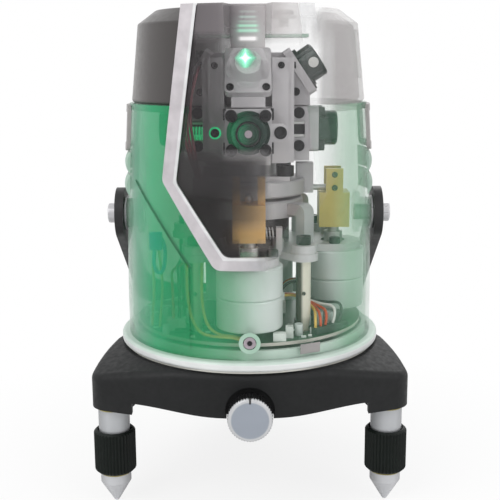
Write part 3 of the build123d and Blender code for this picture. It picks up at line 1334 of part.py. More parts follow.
def line_mounts():
    """Adjusting blocks of the level lines, with the slot on their side."""
    mount_z = (TOWER_Z, TOWER_Z + MOUNT_H)
    body = block((-MOUNT_HALF, MOUNT_HALF), (-MOUNT_OUT, -TOWER_HALF), mount_z)
    middle = (TOWER_HALF + MOUNT_OUT) / 2
    slot_y = (-middle - MOUNT_SLOT_W / 2, -middle + MOUNT_SLOT_W / 2)
    slot_z = (LINE_Z - MOUNT_SLOT_H / 2, LINE_Z + MOUNT_SLOT_H / 2)
    for side in (-1, 1):
        slot_x = sorted((side * (MOUNT_HALF - MOUNT_SLOT_DEPTH), side * (MOUNT_HALF + CUT)))
        body -= block(slot_x, slot_y, slot_z)
        for height in (-LINE_SCREW_SPREAD, LINE_SCREW_SPREAD):
            hole_x = sorted((side * (MOUNT_HALF - M3[1]), side * (MOUNT_HALF + CUT)))
            body -= bar_x(M3[2] + SEAT_FIT, hole_x[0], hole_x[1], -middle, LINE_Z + height)
    for x in (-LINE_SCREW_SPREAD, LINE_SCREW_SPREAD):
        for height in (-LINE_SCREW_SPREAD, LINE_SCREW_SPREAD):
            body -= bar_y(M3[2] + SEAT_FIT, -MOUNT_OUT - CUT, -MOUNT_OUT + M3[1], x, LINE_Z + height)
    return group(around(body, (0, 90, 180, 270)))


def line_plates():
    """Square flanges in front of the mounts, each with a screw ear."""
    face = RectangleRounded(2 * LINE_PLATE_HALF, 2 * LINE_PLATE_HALF, LINE_PLATE_CORNER)
    face += Pos(LINE_EAR_OUT / 2, 0) * Rectangle(LINE_EAR_OUT, 2 * LINE_EAR_R)
    face += Pos(LINE_EAR_OUT, 0) * Circle(LINE_EAR_R)
    body = front_prism(Pos(0, LINE_Z) * face, MOUNT_OUT, MOUNT_END)
    for x in (-LINE_SCREW_SPREAD, LINE_SCREW_SPREAD):
        for height in (-LINE_SCREW_SPREAD, LINE_SCREW_SPREAD):
            body -= bar_y(M3[2] + SEAT_FIT, -MOUNT_END - CUT, -MOUNT_OUT + CUT, x, LINE_Z + height)
    return group(around(body, (0, 90, 180, 270)))


def fan_frame():
    """Place on the front fan plate's middle, with Z along its beam."""
    return Pos(0, -FAN_CENTRE_R, FAN_Z) * Rot(90 - FAN_TILT, 0, 0)


def line_frame():
    """Place on the front line plate's face, with Z along its beam."""
    return Pos(0, -MOUNT_END, LINE_Z) * Rot(90, 0, 0)


def fan_plates():
    """Sloping plates of the upright lines."""
    body = RectangleRounded(FAN_PLATE_W, FAN_PLATE_L, LINE_PLATE_CORNER)
    plate = fan_frame() * Pos(0, 0, -FAN_PLATE_T / 2) * extrude(body, FAN_PLATE_T)
    return group(around(plate, (0, 90, 180, 270)))


def barrel():
    """Lens barrel with its flange at the origin, opening along +Z."""
    inner = BARREL_R - BARREL_EDGE
    body = turned(
        (0, 0),
        (BARREL_FLANGE_R, 0),
        (BARREL_FLANGE_R, BARREL_FLANGE_T),
        (BARREL_R, BARREL_FLANGE_T),
        (BARREL_R, BARREL_L - BARREL_EDGE),
        (inner, BARREL_L),
        (BARREL_BORE_R, BARREL_L),
        (BARREL_BORE_R, BARREL_L - BARREL_BORE_DEPTH),
        (0, BARREL_L - BARREL_BORE_DEPTH),
    )
    return body


def barrel_frames():
    """Places of the eight barrels on the front, right, back and left."""
    fan = fan_frame() * Pos(0, 0, FAN_PLATE_T / 2)
    return [Rot(0, 0, angle) * frame for frame in (line_frame(), fan) for angle in (0, 90, 180, 270)]


def laser_barrels():
    """Barrels of the level lines and the upright lines."""
    screws = []
    for x in (-LINE_SCREW_SPREAD, LINE_SCREW_SPREAD):
        for y in (-LINE_SCREW_SPREAD, LINE_SCREW_SPREAD):
            screws.append(disc(M3[0] + COVER_GAP, -CUT, BARREL_L, (x, y)))
    body = barrel()
    for screw in screws:
        body -= screw
    return group([frame * body for frame in barrel_frames()])


def barrel_lenses():
    """Lenses on the floor of each barrel's bore."""
    floor = BARREL_L - BARREL_BORE_DEPTH
    lens = disc(BARREL_BORE_R - SEAT_FIT, floor, floor + LENS_T)
    return group([frame * lens for frame in barrel_frames()])


def head_screws():
    """Socket screws of the head: disc, line plates and mount sides."""
    pieces = []
    for x, y in HEAD_SCREW_PLACES:
        pieces.append(Pos(x, y, HEAD_TOP + PEDESTAL_H / 4) * cap_screw(M5, PEDESTAL_H / 4 + M5[1]))
    plate = []
    for x in (-LINE_SCREW_SPREAD, LINE_SCREW_SPREAD):
        for y in (-LINE_SCREW_SPREAD, LINE_SCREW_SPREAD):
            plate.append(line_frame() * Pos(x, y, 0) * cap_screw(M3, LINE_PLATE_T + M3[1] / 2))
    middle = (TOWER_HALF + MOUNT_OUT) / 2
    for side in (-1, 1):
        for height in (-LINE_SCREW_SPREAD, LINE_SCREW_SPREAD):
            seat = Pos(side * MOUNT_HALF, -middle, LINE_Z + height) * Rot(0, side * 90, 0)
            plate.append(seat * cap_screw((M3[0], M3[1] / 2, M3[2]), M3[1] / 2))
    for screw in plate:
        pieces += around(screw, (0, 90, 180, 270))
    return group(pieces)


# Lead screws and forks
def lead_screw(at):
    """Lead screw with its hub and the stub inside the gearbox."""
    hub_z = PLATE_Z + ROLL_GAP
    body = disc(DRIVE_STUB_R, PLATE_Z - DRIVE_STUB_L, hub_z, at)
    body += disc(SCREW_HUB_R, hub_z, hub_z + SCREW_HUB_H, at)
    return body + disc(SCREW_R, hub_z, FORK_FLOOR - SCREW_TOP_GAP, at)


def fork(at, angle):
    """Brass fork: a nut block with two prongs beside the ball of its pin."""
    side = (-FORK_HALF, FORK_HALF)
    body = block(side, side, (FORK_Z, FORK_FLOOR))
    for start in (-FORK_HALF, FORK_HALF - PRONG_T):
        prong_z = (FORK_FLOOR, FORK_FLOOR + PRONG_H)
        body += block((start, start + PRONG_T), (-PRONG_HALF, PRONG_HALF), prong_z)
    body -= disc(SCREW_R + RUN_FIT, FORK_Z - CUT, FORK_FLOOR - FORK_ROOF)
    body -= disc(FORK_SEAT_R, FORK_FLOOR - FORK_SEAT_DEPTH, FORK_FLOOR + FACE_GAP)
    return Pos(*at) * Rot(0, 0, angle) * body


# Wires
def wire(*points):
    """Round bent wire through its points, each bend as large as its runs allow."""
    radii = []
    for before, here, after in zip(points, points[1:], points[2:]):
        turn = (Vector(*here) - Vector(*before)).get_angle(Vector(*after) - Vector(*here))
        run = min(math.dist(before, here), math.dist(here, after))
        radii.append(WIRE_BEND * run / math.tan(math.radians(turn / 2)))
    path = FilletPolyline(*points, radius=radii)
    section = Plane(origin=path @ 0, z_dir=path % 0) * RegularPolygon(WIRE_R, WIRE_SIDES)
    solid = sweep(section, path=path)
    share = solid.volume / (section.area * path.length)
    print("wire bend radii", [round(radius, 1) for radius in radii], "volume share", round(share, 3))
    return solid


def terminal_run(name, step):
    """Straight start of a wire out of a motor's terminal."""
    x, y = drive_places()[name]
    angle = TERMINAL_ANGLES[name]
    out = polar(1, angle)
    along = polar(step * WIRE_STEP, angle + 90)
    face = MOTOR_R + TERMINAL_OUT
    z = TERMINAL_Z + TERMINAL_H / 2
    start = (x + out[0] * face + along[0], y + out[1] * face + along[1], z)
    return start, (start[0] + out[0] * WIRE_REACH, start[1] + out[1] * WIRE_REACH, z)


def right_wire(step):
    """Wire from the right motor's terminal down to the connector below it."""
    start, corner = terminal_run("right", step)
    return wire(start, corner, (corner[0], corner[1], BOARD_TOP + CONNECTOR_H + WIRE_END_GAP))


def fan_wire(step, share):
    """Wire from the front motor, behind the front column and over to its place on the header."""
    start, corner = terminal_run("front", step)
    part = (step + 2) / 4
    behind = [near + (far - near) * part for near, far in zip(FAN_NEAR, FAN_FAR)]
    x, y = [near + (far - near) * share for near, far in zip(HEADER_FROM, HEADER_TO)]
    top = TERMINAL_Z - FAN_DROP + FAN_RISE * part
    seat = BOARD_TOP + HEADER_H + WIRE_END_GAP
    return wire(start, corner, (behind[0], behind[1], TERMINAL_Z + behind[2]), (x, y, top), (x, y, seat))


def sensor_wires():
    """Two wires from under the chassis plate, round the front motor to the edge of the board."""
    low = MOTOR_Z - 2.4
    high = PLATE_Z - 2 * WIRE_END_GAP
    seat = BOARD_TOP + STEEP_END_GAP
    outer = [(-29.6, -38.0, high), (-30.0, -42.0, GEARBOX_Z - 2), (-25.0, -51.5, low + 2)]
    outer += [(-17.0, -53.9, low), (-6.5, -54.9, low), (-4.0, -54.2, seat)]
    inner = [(-22.4, -38.0, high), (-23.0, -42.0, GEARBOX_Z), (-20.5, -48.5, low + 4)]
    inner += [(-14.0, -51.8, low), (-6.5, -52.4, low), (-4.0, -51.4, seat)]
    return [wire(*outer), wire(*inner)]


def battery_lead(step):
    """Lead from the left connector up and back to the battery's front face."""
    x, y, _, _ = CONNECTORS["left"]
    x += step * WIRE_STEP
    high = GEARBOX_Z + 4 + 2 * step
    seat = BOARD_TOP + CONNECTOR_H
    top = high + 4
    side = [(x, y, seat), (x, y, high), (x - 3, -6.0, top)]
    return wire(*side, (x + LEAD_IN, BATTERY_FRONT - 9, top), (x + LEAD_IN, BATTERY_FRONT, top))


def head_wires():
    """Three wires from the edge of the left fan plate down to the head disc."""
    edge = -FAN_PLATE_W / 2
    seat = 2 * WIRE_END_GAP - PEDESTAL_H
    paths = [
        [(-23.5, edge, 45.8), (-23.5, -19.4, 45.8), (-24.2, -19.5, 23.0), (-24.6, -18.0, 4.0), (-23.4, -13.5, seat)],
        [(-26.3, edge, 41.6), (-26.3, -19.4, 41.6), (-26.4, -19.5, 22.0), (-26.2, -17.4, 4.0), (-24.6, -11.2, seat)],
        [(-29.1, edge, 37.5), (-29.1, -19.4, 37.5), (-28.4, -19.5, 21.0), (-27.8, -16.0, 4.0), (-25.6, -8.6, seat)],
    ]
    return group([Pos(0, 0, TOWER_Z) * wire(*path) for path in paths])


NODES = {
    "tripod_base": tripod_base(),
    "tripod_thread_bush": tripod_thread_bush(),
    "leg_sleeves": leg_sleeves(),
    "knob_bush": knob_bush(),
    "turntable_bearing": turntable_bearing(),
    "fine_knob": fine_knob(),
    "knob_shaft": knob_shaft(),
    "drive_roller": drive_roller(),
    "turntable": turntable(),
    "housing": housing(),
    "cap": cap(),
    "bezel": bezel(),
    "front_panel": front_panel(),
    "window_frames": window_frames(),
    "window_glass": window_glass(),
    "grip_pads": grip_pads(),
    "front_screw": front_screw(),
    "key_board": key_board(),
    "bail_handle": bail_handle(),
    "handle_bosses": handle_bosses(),
    "handle_pivots": handle_pivots(),
    "battery_door": battery_door(),
    "battery_pack": battery_pack(),
    "chassis_columns": chassis_columns(),
    "chassis_plate": chassis_plate(),
    "chassis_screws": chassis_screws(),
    "coil_spring": coil_spring(),
    "main_board": main_board(),
    "board_connectors": board_connectors(),
    "motor_cans": motor_cans(),
    "gearbox_cans": gearbox_cans(),
    "gimbal_base": gimbal_base(),
    "gimbal_cross": gimbal_cross(),
    "head_disc": head_disc(),
    "head_tower": head_tower(),
    "tilt_pins": tilt_pins(),
    "line_mounts": line_mounts(),
    "line_plates": line_plates(),
    "fan_plates": fan_plates(),
    "laser_barrels": laser_barrels(),
    "barrel_lenses": barrel_lenses(),
    "head_screws": head_screws(),
    "front_lead_screw": lead_screw(drive_places()["front"]),
    "right_lead_screw": lead_screw(drive_places()["right"]),
    "front_fork": fork(drive_places()["front"], 0),
    "right_fork": fork(drive_places()["right"], 90),
    "wires_red": group([right_wire(-2), right_wire(-1), fan_wire(-1, 0.22), fan_wire(0, 0.42), battery_lead(-1)]),
    "wires_yellow": group([right_wire(0), fan_wire(-2, 0.0)] + sensor_wires()),
    "wires_white": group([right_wire(1), fan_wire(1, 0.74)]),
    "wires_black": group([right_wire(2), fan_wire(2, 1.0), battery_lead(1)]),
    "head_wires": head_wires(),
}
for name, angle in FOOT_ANGLES.items():
    NODES[f"foot_{name}"] = foot(angle)
    NODES[f"collar_{name}"] = collar(angle)
for name, x in BUTTON_PLACES.items():
    NODES[f"button_{name}"] = button(x)

os.makedirs("parts", exist_ok=True)
for name, shape in NODES.items():
    export_step(Pos(0, 0, -DATUM_Z) * shape, f"parts/{name}.step")
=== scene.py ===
"""Line laser level on three levelling feet: finishes, small parts, studio and camera."""

import logging
import math
from collections.abc import Callable
from dataclasses import dataclass, field
from enum import Enum

import bpy
from mathutils import Matrix, Vector


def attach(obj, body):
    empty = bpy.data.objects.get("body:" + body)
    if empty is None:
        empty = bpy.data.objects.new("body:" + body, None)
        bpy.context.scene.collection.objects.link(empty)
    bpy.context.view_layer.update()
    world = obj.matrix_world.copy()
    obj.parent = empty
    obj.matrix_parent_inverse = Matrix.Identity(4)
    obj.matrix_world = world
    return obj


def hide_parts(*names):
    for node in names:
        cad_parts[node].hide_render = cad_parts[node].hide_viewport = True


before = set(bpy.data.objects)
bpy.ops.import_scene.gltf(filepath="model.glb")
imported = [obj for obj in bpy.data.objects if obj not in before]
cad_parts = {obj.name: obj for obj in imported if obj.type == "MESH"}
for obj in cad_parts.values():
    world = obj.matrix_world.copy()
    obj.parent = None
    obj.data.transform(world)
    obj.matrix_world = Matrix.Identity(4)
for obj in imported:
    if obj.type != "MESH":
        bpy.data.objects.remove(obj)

Colour = tuple[float, float, float]
Point = tuple[float, float, float]
Pair = tuple[float, float]
Stop = tuple[float, Colour]
Socket = bpy.types.NodeSocket
Piece = bpy.types.Object

LOG = logging.getLogger("laser_level")
MM = 0.001
FLOOR_Z = -0.050
BLACK = (0.0, 0.0, 0.0)
WHITE = (1.0, 1.0, 1.0, 1.0)
CLOUDS_PER_METRE = 60.0
WORN_BELOW = 0.3
CLEAN_ABOVE = 0.62
CLOUD_RANGE = (0.3, 0.7)
GRAIN_RANGE = (0.2, 0.8)
GLOSS_SWING = 0.2
WAVE_UNIT = math.tau / 20
UPWARD = 0.9
SAME_PLACE = 1e-7
SHARP_DEG = 40
SMOOTH_DEG = 35
RING_EDGE_SHARE = 0.2


def srgb(*display: float) -> Colour:
    """Linear colour from red, green and blue as displayed, 0 to 255."""
    parts = [value / 255 for value in display]
    return tuple(v / 12.92 if v <= 0.04045 else ((v + 0.055) / 1.055) ** 2.4 for v in parts)


class Axis(Enum):
    """Axis of the object's frame that a pattern or a turned part runs along."""

    X = 0
    Y = 1
    Z = 2


class Nodes:
    """Node tree with short calls for adding nodes and reckoning with values."""

    def __init__(self, tree: bpy.types.NodeTree) -> None:
        """Takes over a tree and empties it."""
        self.tree = tree
        tree.nodes.clear()

    def add(self, kind: str, inputs: dict[str | int, object] | None = None, **options: str) -> bpy.types.Node:
        """Adds a node, sets its options and feeds its inputs.

        Args:
            kind: Kind of node, without the first word that all kinds share.
            inputs: Socket to link from, or fixed value, of each input.
            options: Options of the node.

        Returns:
            The node.
        """
        node = self.tree.nodes.new("ShaderNode" + kind)
        for name, option in options.items():
            setattr(node, name, option)
        for name, value in (inputs or {}).items():
            if isinstance(value, Socket):
                self.tree.links.new(value, node.inputs[name])
            else:
                node.inputs[name].default_value = value
        return node

    def calc(self, operation: str, first: Socket, second: Socket | float = 0.0) -> Socket:
        """Result of one operation on two values."""
        return self.add("Math", {0: first, 1: second}, operation=operation).outputs[0]

    def times(self, first: Socket, second: Socket) -> Socket:
        """Product of two values."""
        return self.calc("MULTIPLY", first, second)

    def apart(self, value: Socket, middle: float) -> Socket:
        """Distance of a value from a fixed number."""
        return self.calc("ABSOLUTE", self.calc("SUBTRACT", value, middle))


class Shader(Nodes):
    """Node tree of one material, with short calls for what the finishes share."""

    def __init__(self, name: str) -> None:
        """Starts a material with one principled surface.

        Args:
            name: Name of the material.
        """
        self.material = bpy.data.materials.new(name)
        self.material.use_nodes = True
        super().__init__(self.material.node_tree)
        self.surface = self.add("BsdfPrincipled")
        self.output = self.add("OutputMaterial", {"Surface": self.surface.outputs["BSDF"]})
        coordinates = self.add("TexCoord")
        self.place = coordinates.outputs["Object"]
        self.facing = coordinates.outputs["Normal"]

    def along(self, axis: Axis, vector: Socket | None = None) -> Socket:
        """Part of a vector along one axis, or of the place in metres where no vector is given."""
        return self.add("SeparateXYZ", {"Vector": vector or self.place}).outputs[axis.value]

    def noise(self, scale: Point, detail: float) -> Socket:
        """Cloudy or streaky pattern.

        Args:
            scale: Pattern repeats per metre along X, Y and Z.
            detail: Number of finer layers.

        Returns:
            Value from 0 to 1.
        """
        stretched = self.add("Mapping", {"Scale": scale, "Vector": self.place})
        inputs = {"Scale": 1.0, "Detail": detail, "Vector": stretched.outputs["Vector"]}
        return self.add("TexNoise", inputs).outputs["Fac"]

    def clouds(self, per_metre: float = CLOUDS_PER_METRE) -> Socket:
        """Soft clouds from 0 to 1."""
        return self.spread(self.noise((per_metre,) * 3, 3.0), *CLOUD_RANGE)

    def spread(self, value: Socket, low: float, high: float,
               to_low: float = 0.0, to_high: float = 1.0) -> Socket:
        """A value mapped from the range low to high onto to_low to to_high, held at the ends."""
        inputs = {"From Min": low, "From Max": high, "To Min": to_low, "To Max": to_high, "Value": value}
        return self.add("MapRange", inputs).outputs["Result"]

    def past(self, value: Socket, limit: float, fade: float) -> Socket:
        """Share from 0 to 1 as a value passes a limit, from 1 to 0 where the fade is negative."""
        return self.spread(value, limit - fade, limit + fade)

    def ramp(self, value: Socket, stops: list[Stop]) -> Socket:
        """Colours along a value from 0 to 1.

        Args:
            value: Place on the ramp.
            stops: Pairs of place and colour.

        Returns:
            The colour.
        """
        node = self.add("ValToRGB", {"Fac": value})
        elements = node.color_ramp.elements
        elements[0].position = stops[0][0]
        elements[1].position = stops[-1][0]
        for position, _ in stops[1:-1]:
            elements.new(position)
        for element, (_, colour) in zip(elements, stops):
            element.color = (*colour, 1.0)
        return node.outputs["Color"]

    def blend(self, share: Socket, first: Socket, second: Socket) -> Socket:
        """Mixes two colours by the share of the second."""
        inputs = {"Factor": share, "A": first, "B": second}
        return self.add("Mix", inputs, data_type="RGBA").outputs["Result"]

    def dim(self, colour: Socket, share: float) -> Socket:
        """A colour of which only a share of the light stays."""
        inputs = {"Factor": 1.0, "A": colour, "B": (share, share, share, 1.0)}
        return self.add("Mix", inputs, data_type="RGBA", blend_type="MULTIPLY").outputs["Result"]

    def mottled(self, colour: Colour, share: float = 0.9) -> Socket:
        """A colour that is uneven, down to a share of its light."""
        return self.ramp(self.clouds(), [(0.0, tuple(share * part for part in colour)), (1.0, colour)])

    def bump(self, height: Socket, strength: float, depth: float) -> None:
        """Raises the surface by a pattern, over a depth in metres."""
        node = self.add("Bump", {"Strength": strength, "Distance": depth, "Height": height})
        self.drive("Normal", node.outputs["Normal"])

    def fixed(self, **values: float) -> None:
        """Sets sockets that are the same all over the surface."""
        for name, value in values.items():
            self.surface.inputs[name.replace("_", " ")].default_value = value

    def drive(self, socket: str, value: Socket) -> None:
        """Links a pattern to a socket of the surface."""
        self.tree.links.new(value, self.surface.inputs[socket])


@dataclass(frozen=True)
class Finish:
    """Plain finish: mottled colour, uneven gloss and a fine grain."""

    name: str
    colour: Colour = BLACK
    worn: Colour = BLACK
    roughness: float = 0.45
    metallic: float = 0.0
    grain: Point = (900.0, 900.0, 900.0)
    grain_depth: float = 0.00003
    grain_strength: float = 0.25
    cloud: float = CLOUDS_PER_METRE
    coat: float = 0.0
    shine: float = 0.5

    def make(self) -> bpy.types.Material:
        """Builds the material.

        Returns:
            The finished material.
        """
        shader = Shader(self.name)
        self.texture(shader)
        self.paint(shader)
        shader.fixed(Metallic=self.metallic, Coat_Weight=self.coat, Specular_IOR_Level=self.shine)
        return shader.material

    def plain(self, shader: Shader) -> Socket:
        """Colour with worn clouds in it."""
        clouds = shader.noise((self.cloud,) * 3, 4.0)
        return shader.ramp(clouds, [(WORN_BELOW, self.worn), (CLEAN_ABOVE, self.colour)])

    def texture(self, shader: Shader) -> None:
        """Lays the uneven gloss and the grain.

        Args:
            shader: Material to dress.
        """
        grain = shader.noise(self.grain, 2.0)
        ends = (self.roughness * (1 - GLOSS_SWING), min(1.0, self.roughness * (1 + GLOSS_SWING)))
        shader.drive("Roughness", shader.spread(grain, *GRAIN_RANGE, *ends))
        shader.bump(grain, self.grain_strength, self.grain_depth)

    def paint(self, shader: Shader) -> None:
        """Lays the colour."""
        shader.drive("Base Color", self.plain(shader))


@dataclass(frozen=True)
class Zone:
    """Tint of a shell across its width, from a height upwards.

    A stop gives a place in millimetres, red, green and blue as displayed, and the density.
    """

    height: float
    stops: tuple[tuple[float, ...], ...]


@dataclass(frozen=True)
class TintedShell(Finish):
    """See-through moulded shell, dense on its left and clear towards its right, with a pale strip painted as
    a highlight along an edge and a dark strip painted as the shade in a crease.
    """

    zones: tuple[Zone, ...] = ()
    half_width: float = 0.062
    soft: float = 0.004
    # Line along which a pale strip is painted as a highlight, and the strip's width, fade, reach and colour.
    edge: tuple[Pair, ...] = ()
    highlight_width: float = 1.9
    highlight_fade: float = 0.2
    highlight_reach: float = 0.02
    highlight_colour: Colour = (0.86, 0.86, 0.87)
    # Line of the crease on the front, along which a dark strip is painted as the shade in it.
    crease: tuple[Pair, ...] = ()
    crease_half: float = 0.75
    crease_fade: float = 0.4
    crease_ends: float = 0.0006
    crease_front: Pair = (-0.012, -0.006)
    crease_shade_colour: Colour = (0.01, 0.14, 0.06)
    crease_density: float = 0.8
    crease_share: float = 0.75
    patch: float = 0.94

    @staticmethod
    def beside(shader: Shader, first: Pair, second: Pair) -> tuple[Socket, float]:
        """Place across the line through two points, seen from the front.

        Args:
            shader: Material to dress.
            first: X and Z of the line's start, in millimetres.
            second: X and Z of the line's end, in millimetres.

        Returns:
            The place in metres, and its value on the line.
        """
        (x1, z1), (x2, z2) = first, second
        length = math.hypot(x2 - x1, z2 - z1)
        side = ((z2 - z1) / length, 0.0, (x1 - x2) / length)
        dot = shader.add("VectorMath", {0: shader.place, 1: side}, operation="DOT_PRODUCT")
        return dot.outputs["Value"], (x1 * side[0] + z1 * side[2]) * MM

    def crease_shade_share(self, shader: Shader) -> Socket:
        """Share of the painted shade in the crease, along one line on the front.

        Args:
            shader: Material to dress.

        Returns:
            Value from 0 to 1.
        """
        place, on_line = self.beside(shader, *self.crease)
        ends = [self.crease_half * MM * share for share in (1 - self.crease_fade, 1 + self.crease_fade)]
        near = shader.spread(shader.apart(place, on_line), *ends, self.crease_share, 0.0)
        height = shader.along(Axis.Z)
        top, bottom = (z * MM for _, z in self.crease)
        below = shader.spread(height, top - self.crease_ends, top, 1.0, 0.0)
        above = shader.spread(height, bottom - self.crease_ends, bottom)
        in_front = shader.spread(shader.along(Axis.Y), *self.crease_front, 1.0, 0.0)
        return shader.times(shader.times(near, in_front), shader.times(below, above))

    def outside(self, shader: Shader) -> Socket:
        """Distance outside the outline that the edge's points follow downwards, across which the pale
        highlight strip is painted.

        Args:
            shader: Material to dress.

        Returns:
            The distance in metres, up to the edge's reach.
        """
        far = None
        for first, second in zip(self.edge, self.edge[1:]):
            place, start = self.beside(shader, first, second)
            here = shader.spread(place, start, start + self.highlight_reach, 0.0, self.highlight_reach)
            far = here if far is None else shader.calc("MAXIMUM", far, here)
        return far

    def paint(self, shader: Shader) -> None:
        """Lays the tint and its density across X, zone by zone up Z, then the painted highlight strip and the
        painted shade in the crease.

        Args:
            shader: Material to dress.
        """
        across = shader.spread(shader.along(Axis.X), -self.half_width, self.half_width)
        tint = density = None
        for zone in self.zones:
            places = [0.5 + stop[0] * MM / self.half_width / 2 for stop in zone.stops]
            here = shader.ramp(across, [(at, srgb(*stop[1:4])) for at, stop in zip(places, zone.stops)])
            share = shader.ramp(across, [(at, (stop[4],) * 3) for at, stop in zip(places, zone.stops)])
            if tint is None:
                tint, density = here, share
                continue
            above = shader.past(shader.along(Axis.Z), zone.height, self.soft)
            tint = shader.blend(above, tint, here)
            density = shader.blend(above, density, share)
        # Painted highlight: a pale strip along the edge's line.
        if self.edge:
            ends = ((self.highlight_width - self.highlight_fade) * MM, (self.highlight_width + self.highlight_fade) * MM)
            near = shader.spread(self.outside(shader), *ends, 1.0, 0.0)
            tint = shader.blend(near, tint, shader.mottled(self.highlight_colour))
        # Painted shade: a dark, denser strip along the crease.
        if self.crease:
            mark = self.crease_shade_share(shader)
            tint = shader.blend(mark, tint, shader.mottled(self.crease_shade_colour))
            density = shader.blend(mark, density, shader.mottled((self.crease_density,) * 3, 1.0))
        clouds = shader.clouds(self.cloud)
        shader.drive("Base Color", shader.blend(clouds, tint, shader.dim(tint, self.patch)))
        shader.drive("Alpha", density)


@dataclass(frozen=True)
class FrontTop(Finish):
    """Finish that turns clearer on the front of the object, above a height, where it can give off a painted
    glow; across X it can carry a painted sheen.
    """

    front_y: float = -0.018
    above_z: float = 0.147
    front_colour: Colour = BLACK
    front_alpha: float = 0.2
    alpha: float = 1.0
    fade: float = 0.0005
    # Strength of the painted glow on the clearer part, which is no lamp.
    glow: float = 0.0
    # Colours across X painted as a sheen, lighter on the lit left.
    sheen: tuple[Stop, ...] = ()
    sheen_half: float = 0.012
    sheen_patch: float = 0.85

    def paint(self, shader: Shader) -> None:
        """Lays the plain finish or the painted sheen, and the clearer part with its painted glow.

        Args:
            shader: Material to dress.
        """
        in_front = shader.past(shader.along(Axis.Y), self.front_y, -self.fade)
        high_up = shader.past(shader.along(Axis.Z), self.above_z, self.fade)
        both = shader.times(in_front, high_up)
        colour = self.plain(shader)
        # Painted sheen across X in place of the plain colour.
        if self.sheen:
            across = shader.spread(shader.along(Axis.X), -self.sheen_half, self.sheen_half)
            sheen = shader.ramp(across, list(self.sheen))
            clouds = shader.noise((self.cloud,) * 3, 4.0)
            colour = shader.blend(clouds, sheen, shader.dim(sheen, self.sheen_patch))
        shader.drive("Base Color", shader.blend(both, colour, shader.mottled(self.front_colour, 1.0)))
        shader.drive("Alpha", shader.spread(both, 0.0, 1.0, self.alpha, self.front_alpha))
        # Painted glow: light given off by a part that is no lamp.
        if self.glow:
            shader.drive("Emission Color", shader.ramp(both, [(0.0, BLACK), (1.0, self.front_colour)]))
            shader.fixed(Emission_Strength=self.glow)


@dataclass(frozen=True)
class Banded(Finish):
    """Finish whose colour changes along one axis, as between two parts of one piece."""

    axis: Axis = Axis.Z
    bands: tuple[Stop, ...] = ()
    edge: float = 0.0002
    patch: float = 0.86

    def paint(self, shader: Shader) -> None:
        """Lays the colour, band by band.

        Args:
            shader: Material to dress.
        """
        place = shader.along(self.axis)
        tint = shader.ramp(shader.clouds(), [(0.0, self.worn), (1.0, self.colour)])
        for start, colour in self.bands:
            share = shader.past(place, start, self.edge)
            tint = shader.blend(share, tint, shader.mottled(colour, self.patch))
        shader.drive("Base Color", tint)


@dataclass(frozen=True)
class TurnedKnob(Finish):
    """Knob with a paler rim round its face, a mark at its top and dark flutes behind it."""

    middle_z: float = 0.0055
    rim_r: float = 0.0086
    rim: Colour = BLACK
    rim_fade: float = 0.07
    back_y: float = -0.0731
    back: Colour = BLACK
    fade: float = 0.0002
    mark_drop: float = 0.0007
    mark_half: Pair = (0.0003, 0.0006)

    def paint(self, shader: Shader) -> None:
        """Lays the face, its rim and the dark back.

        Args:
            shader: Material to dress.
        """
        across = shader.apart(shader.along(Axis.X), 0.0)
        height = shader.along(Axis.Z)
        upward = shader.apart(height, self.middle_z)
        out = shader.calc("ADD", shader.times(across, across), shader.times(upward, upward))
        square = self.rim_r ** 2
        rim = shader.spread(out, square * (1 - self.rim_fade), square * (1 + self.rim_fade))
        face = shader.blend(rim, shader.mottled(self.colour), shader.mottled(self.rim))
        high_up = shader.past(height, self.middle_z + self.rim_r - self.mark_drop, self.fade)
        mark = shader.times(shader.spread(across, *self.mark_half, 1.0, 0.0), high_up)
        back = shader.mottled(self.back)
        behind = shader.past(shader.along(Axis.Y), self.back_y, self.fade)
        shader.drive("Base Color", shader.blend(behind, shader.blend(mark, face, back), back))


@dataclass(frozen=True)
class ShadedRod(Finish):
    """Polished rod, darker on its left side."""

    shade: Colour = BLACK
    side: Pair = (-0.4, -0.05)

    def paint(self, shader: Shader) -> None:
        """Lays the bright side and the shaded side.

        Args:
            shader: Material to dress.
        """
        side = shader.spread(shader.along(Axis.X, shader.facing), *self.side)
        colours = (shader.mottled(self.shade), shader.mottled(self.colour))
        shader.drive("Base Color", shader.blend(side, *colours))


@dataclass(frozen=True)
class BeamGlow(Finish):
    """Smoked face with painted shade on its left, paler to its right, lit by soft bars of light.

    A bar gives its middle up Z, its half height, its half width and its colour.
    """

    half_width: float = 0.008
    bars: tuple[tuple[float, float, float, Colour], ...] = ()
    rise_fade: Pair = (0.4, 1.6)
    side_fade: Pair = (0.7, 1.25)
    glow: float = 1.0

    def paint(self, shader: Shader) -> None:
        """Lays the smoke with its painted shade, and the light.

        Args:
            shader: Material to dress.
        """
        across = shader.along(Axis.X)
        share = shader.spread(across, -self.half_width, self.half_width)
        # Painted shade: the face darkens towards its left.
        shader.drive("Base Color", shader.ramp(share, [(0.0, self.worn), (1.0, self.colour)]))
        light = None
        for middle, half_height, half_width, colour in self.bars:
            upward = shader.apart(shader.along(Axis.Z), middle)
            rise = shader.spread(upward, *(half_height * share for share in self.rise_fade), 1.0, 0.0)
            aside = shader.apart(across, 0.0)
            side = shader.spread(aside, *(half_width * share for share in self.side_fade), 1.0, 0.0)
            bar = shader.times(rise, side)
            here = shader.ramp(bar, [(0.0, BLACK), (1.0, colour)])
            light = here if light is None else shader.blend(bar, light, here)
        shader.drive("Emission Color", light)
        shader.fixed(Emission_Strength=self.glow)


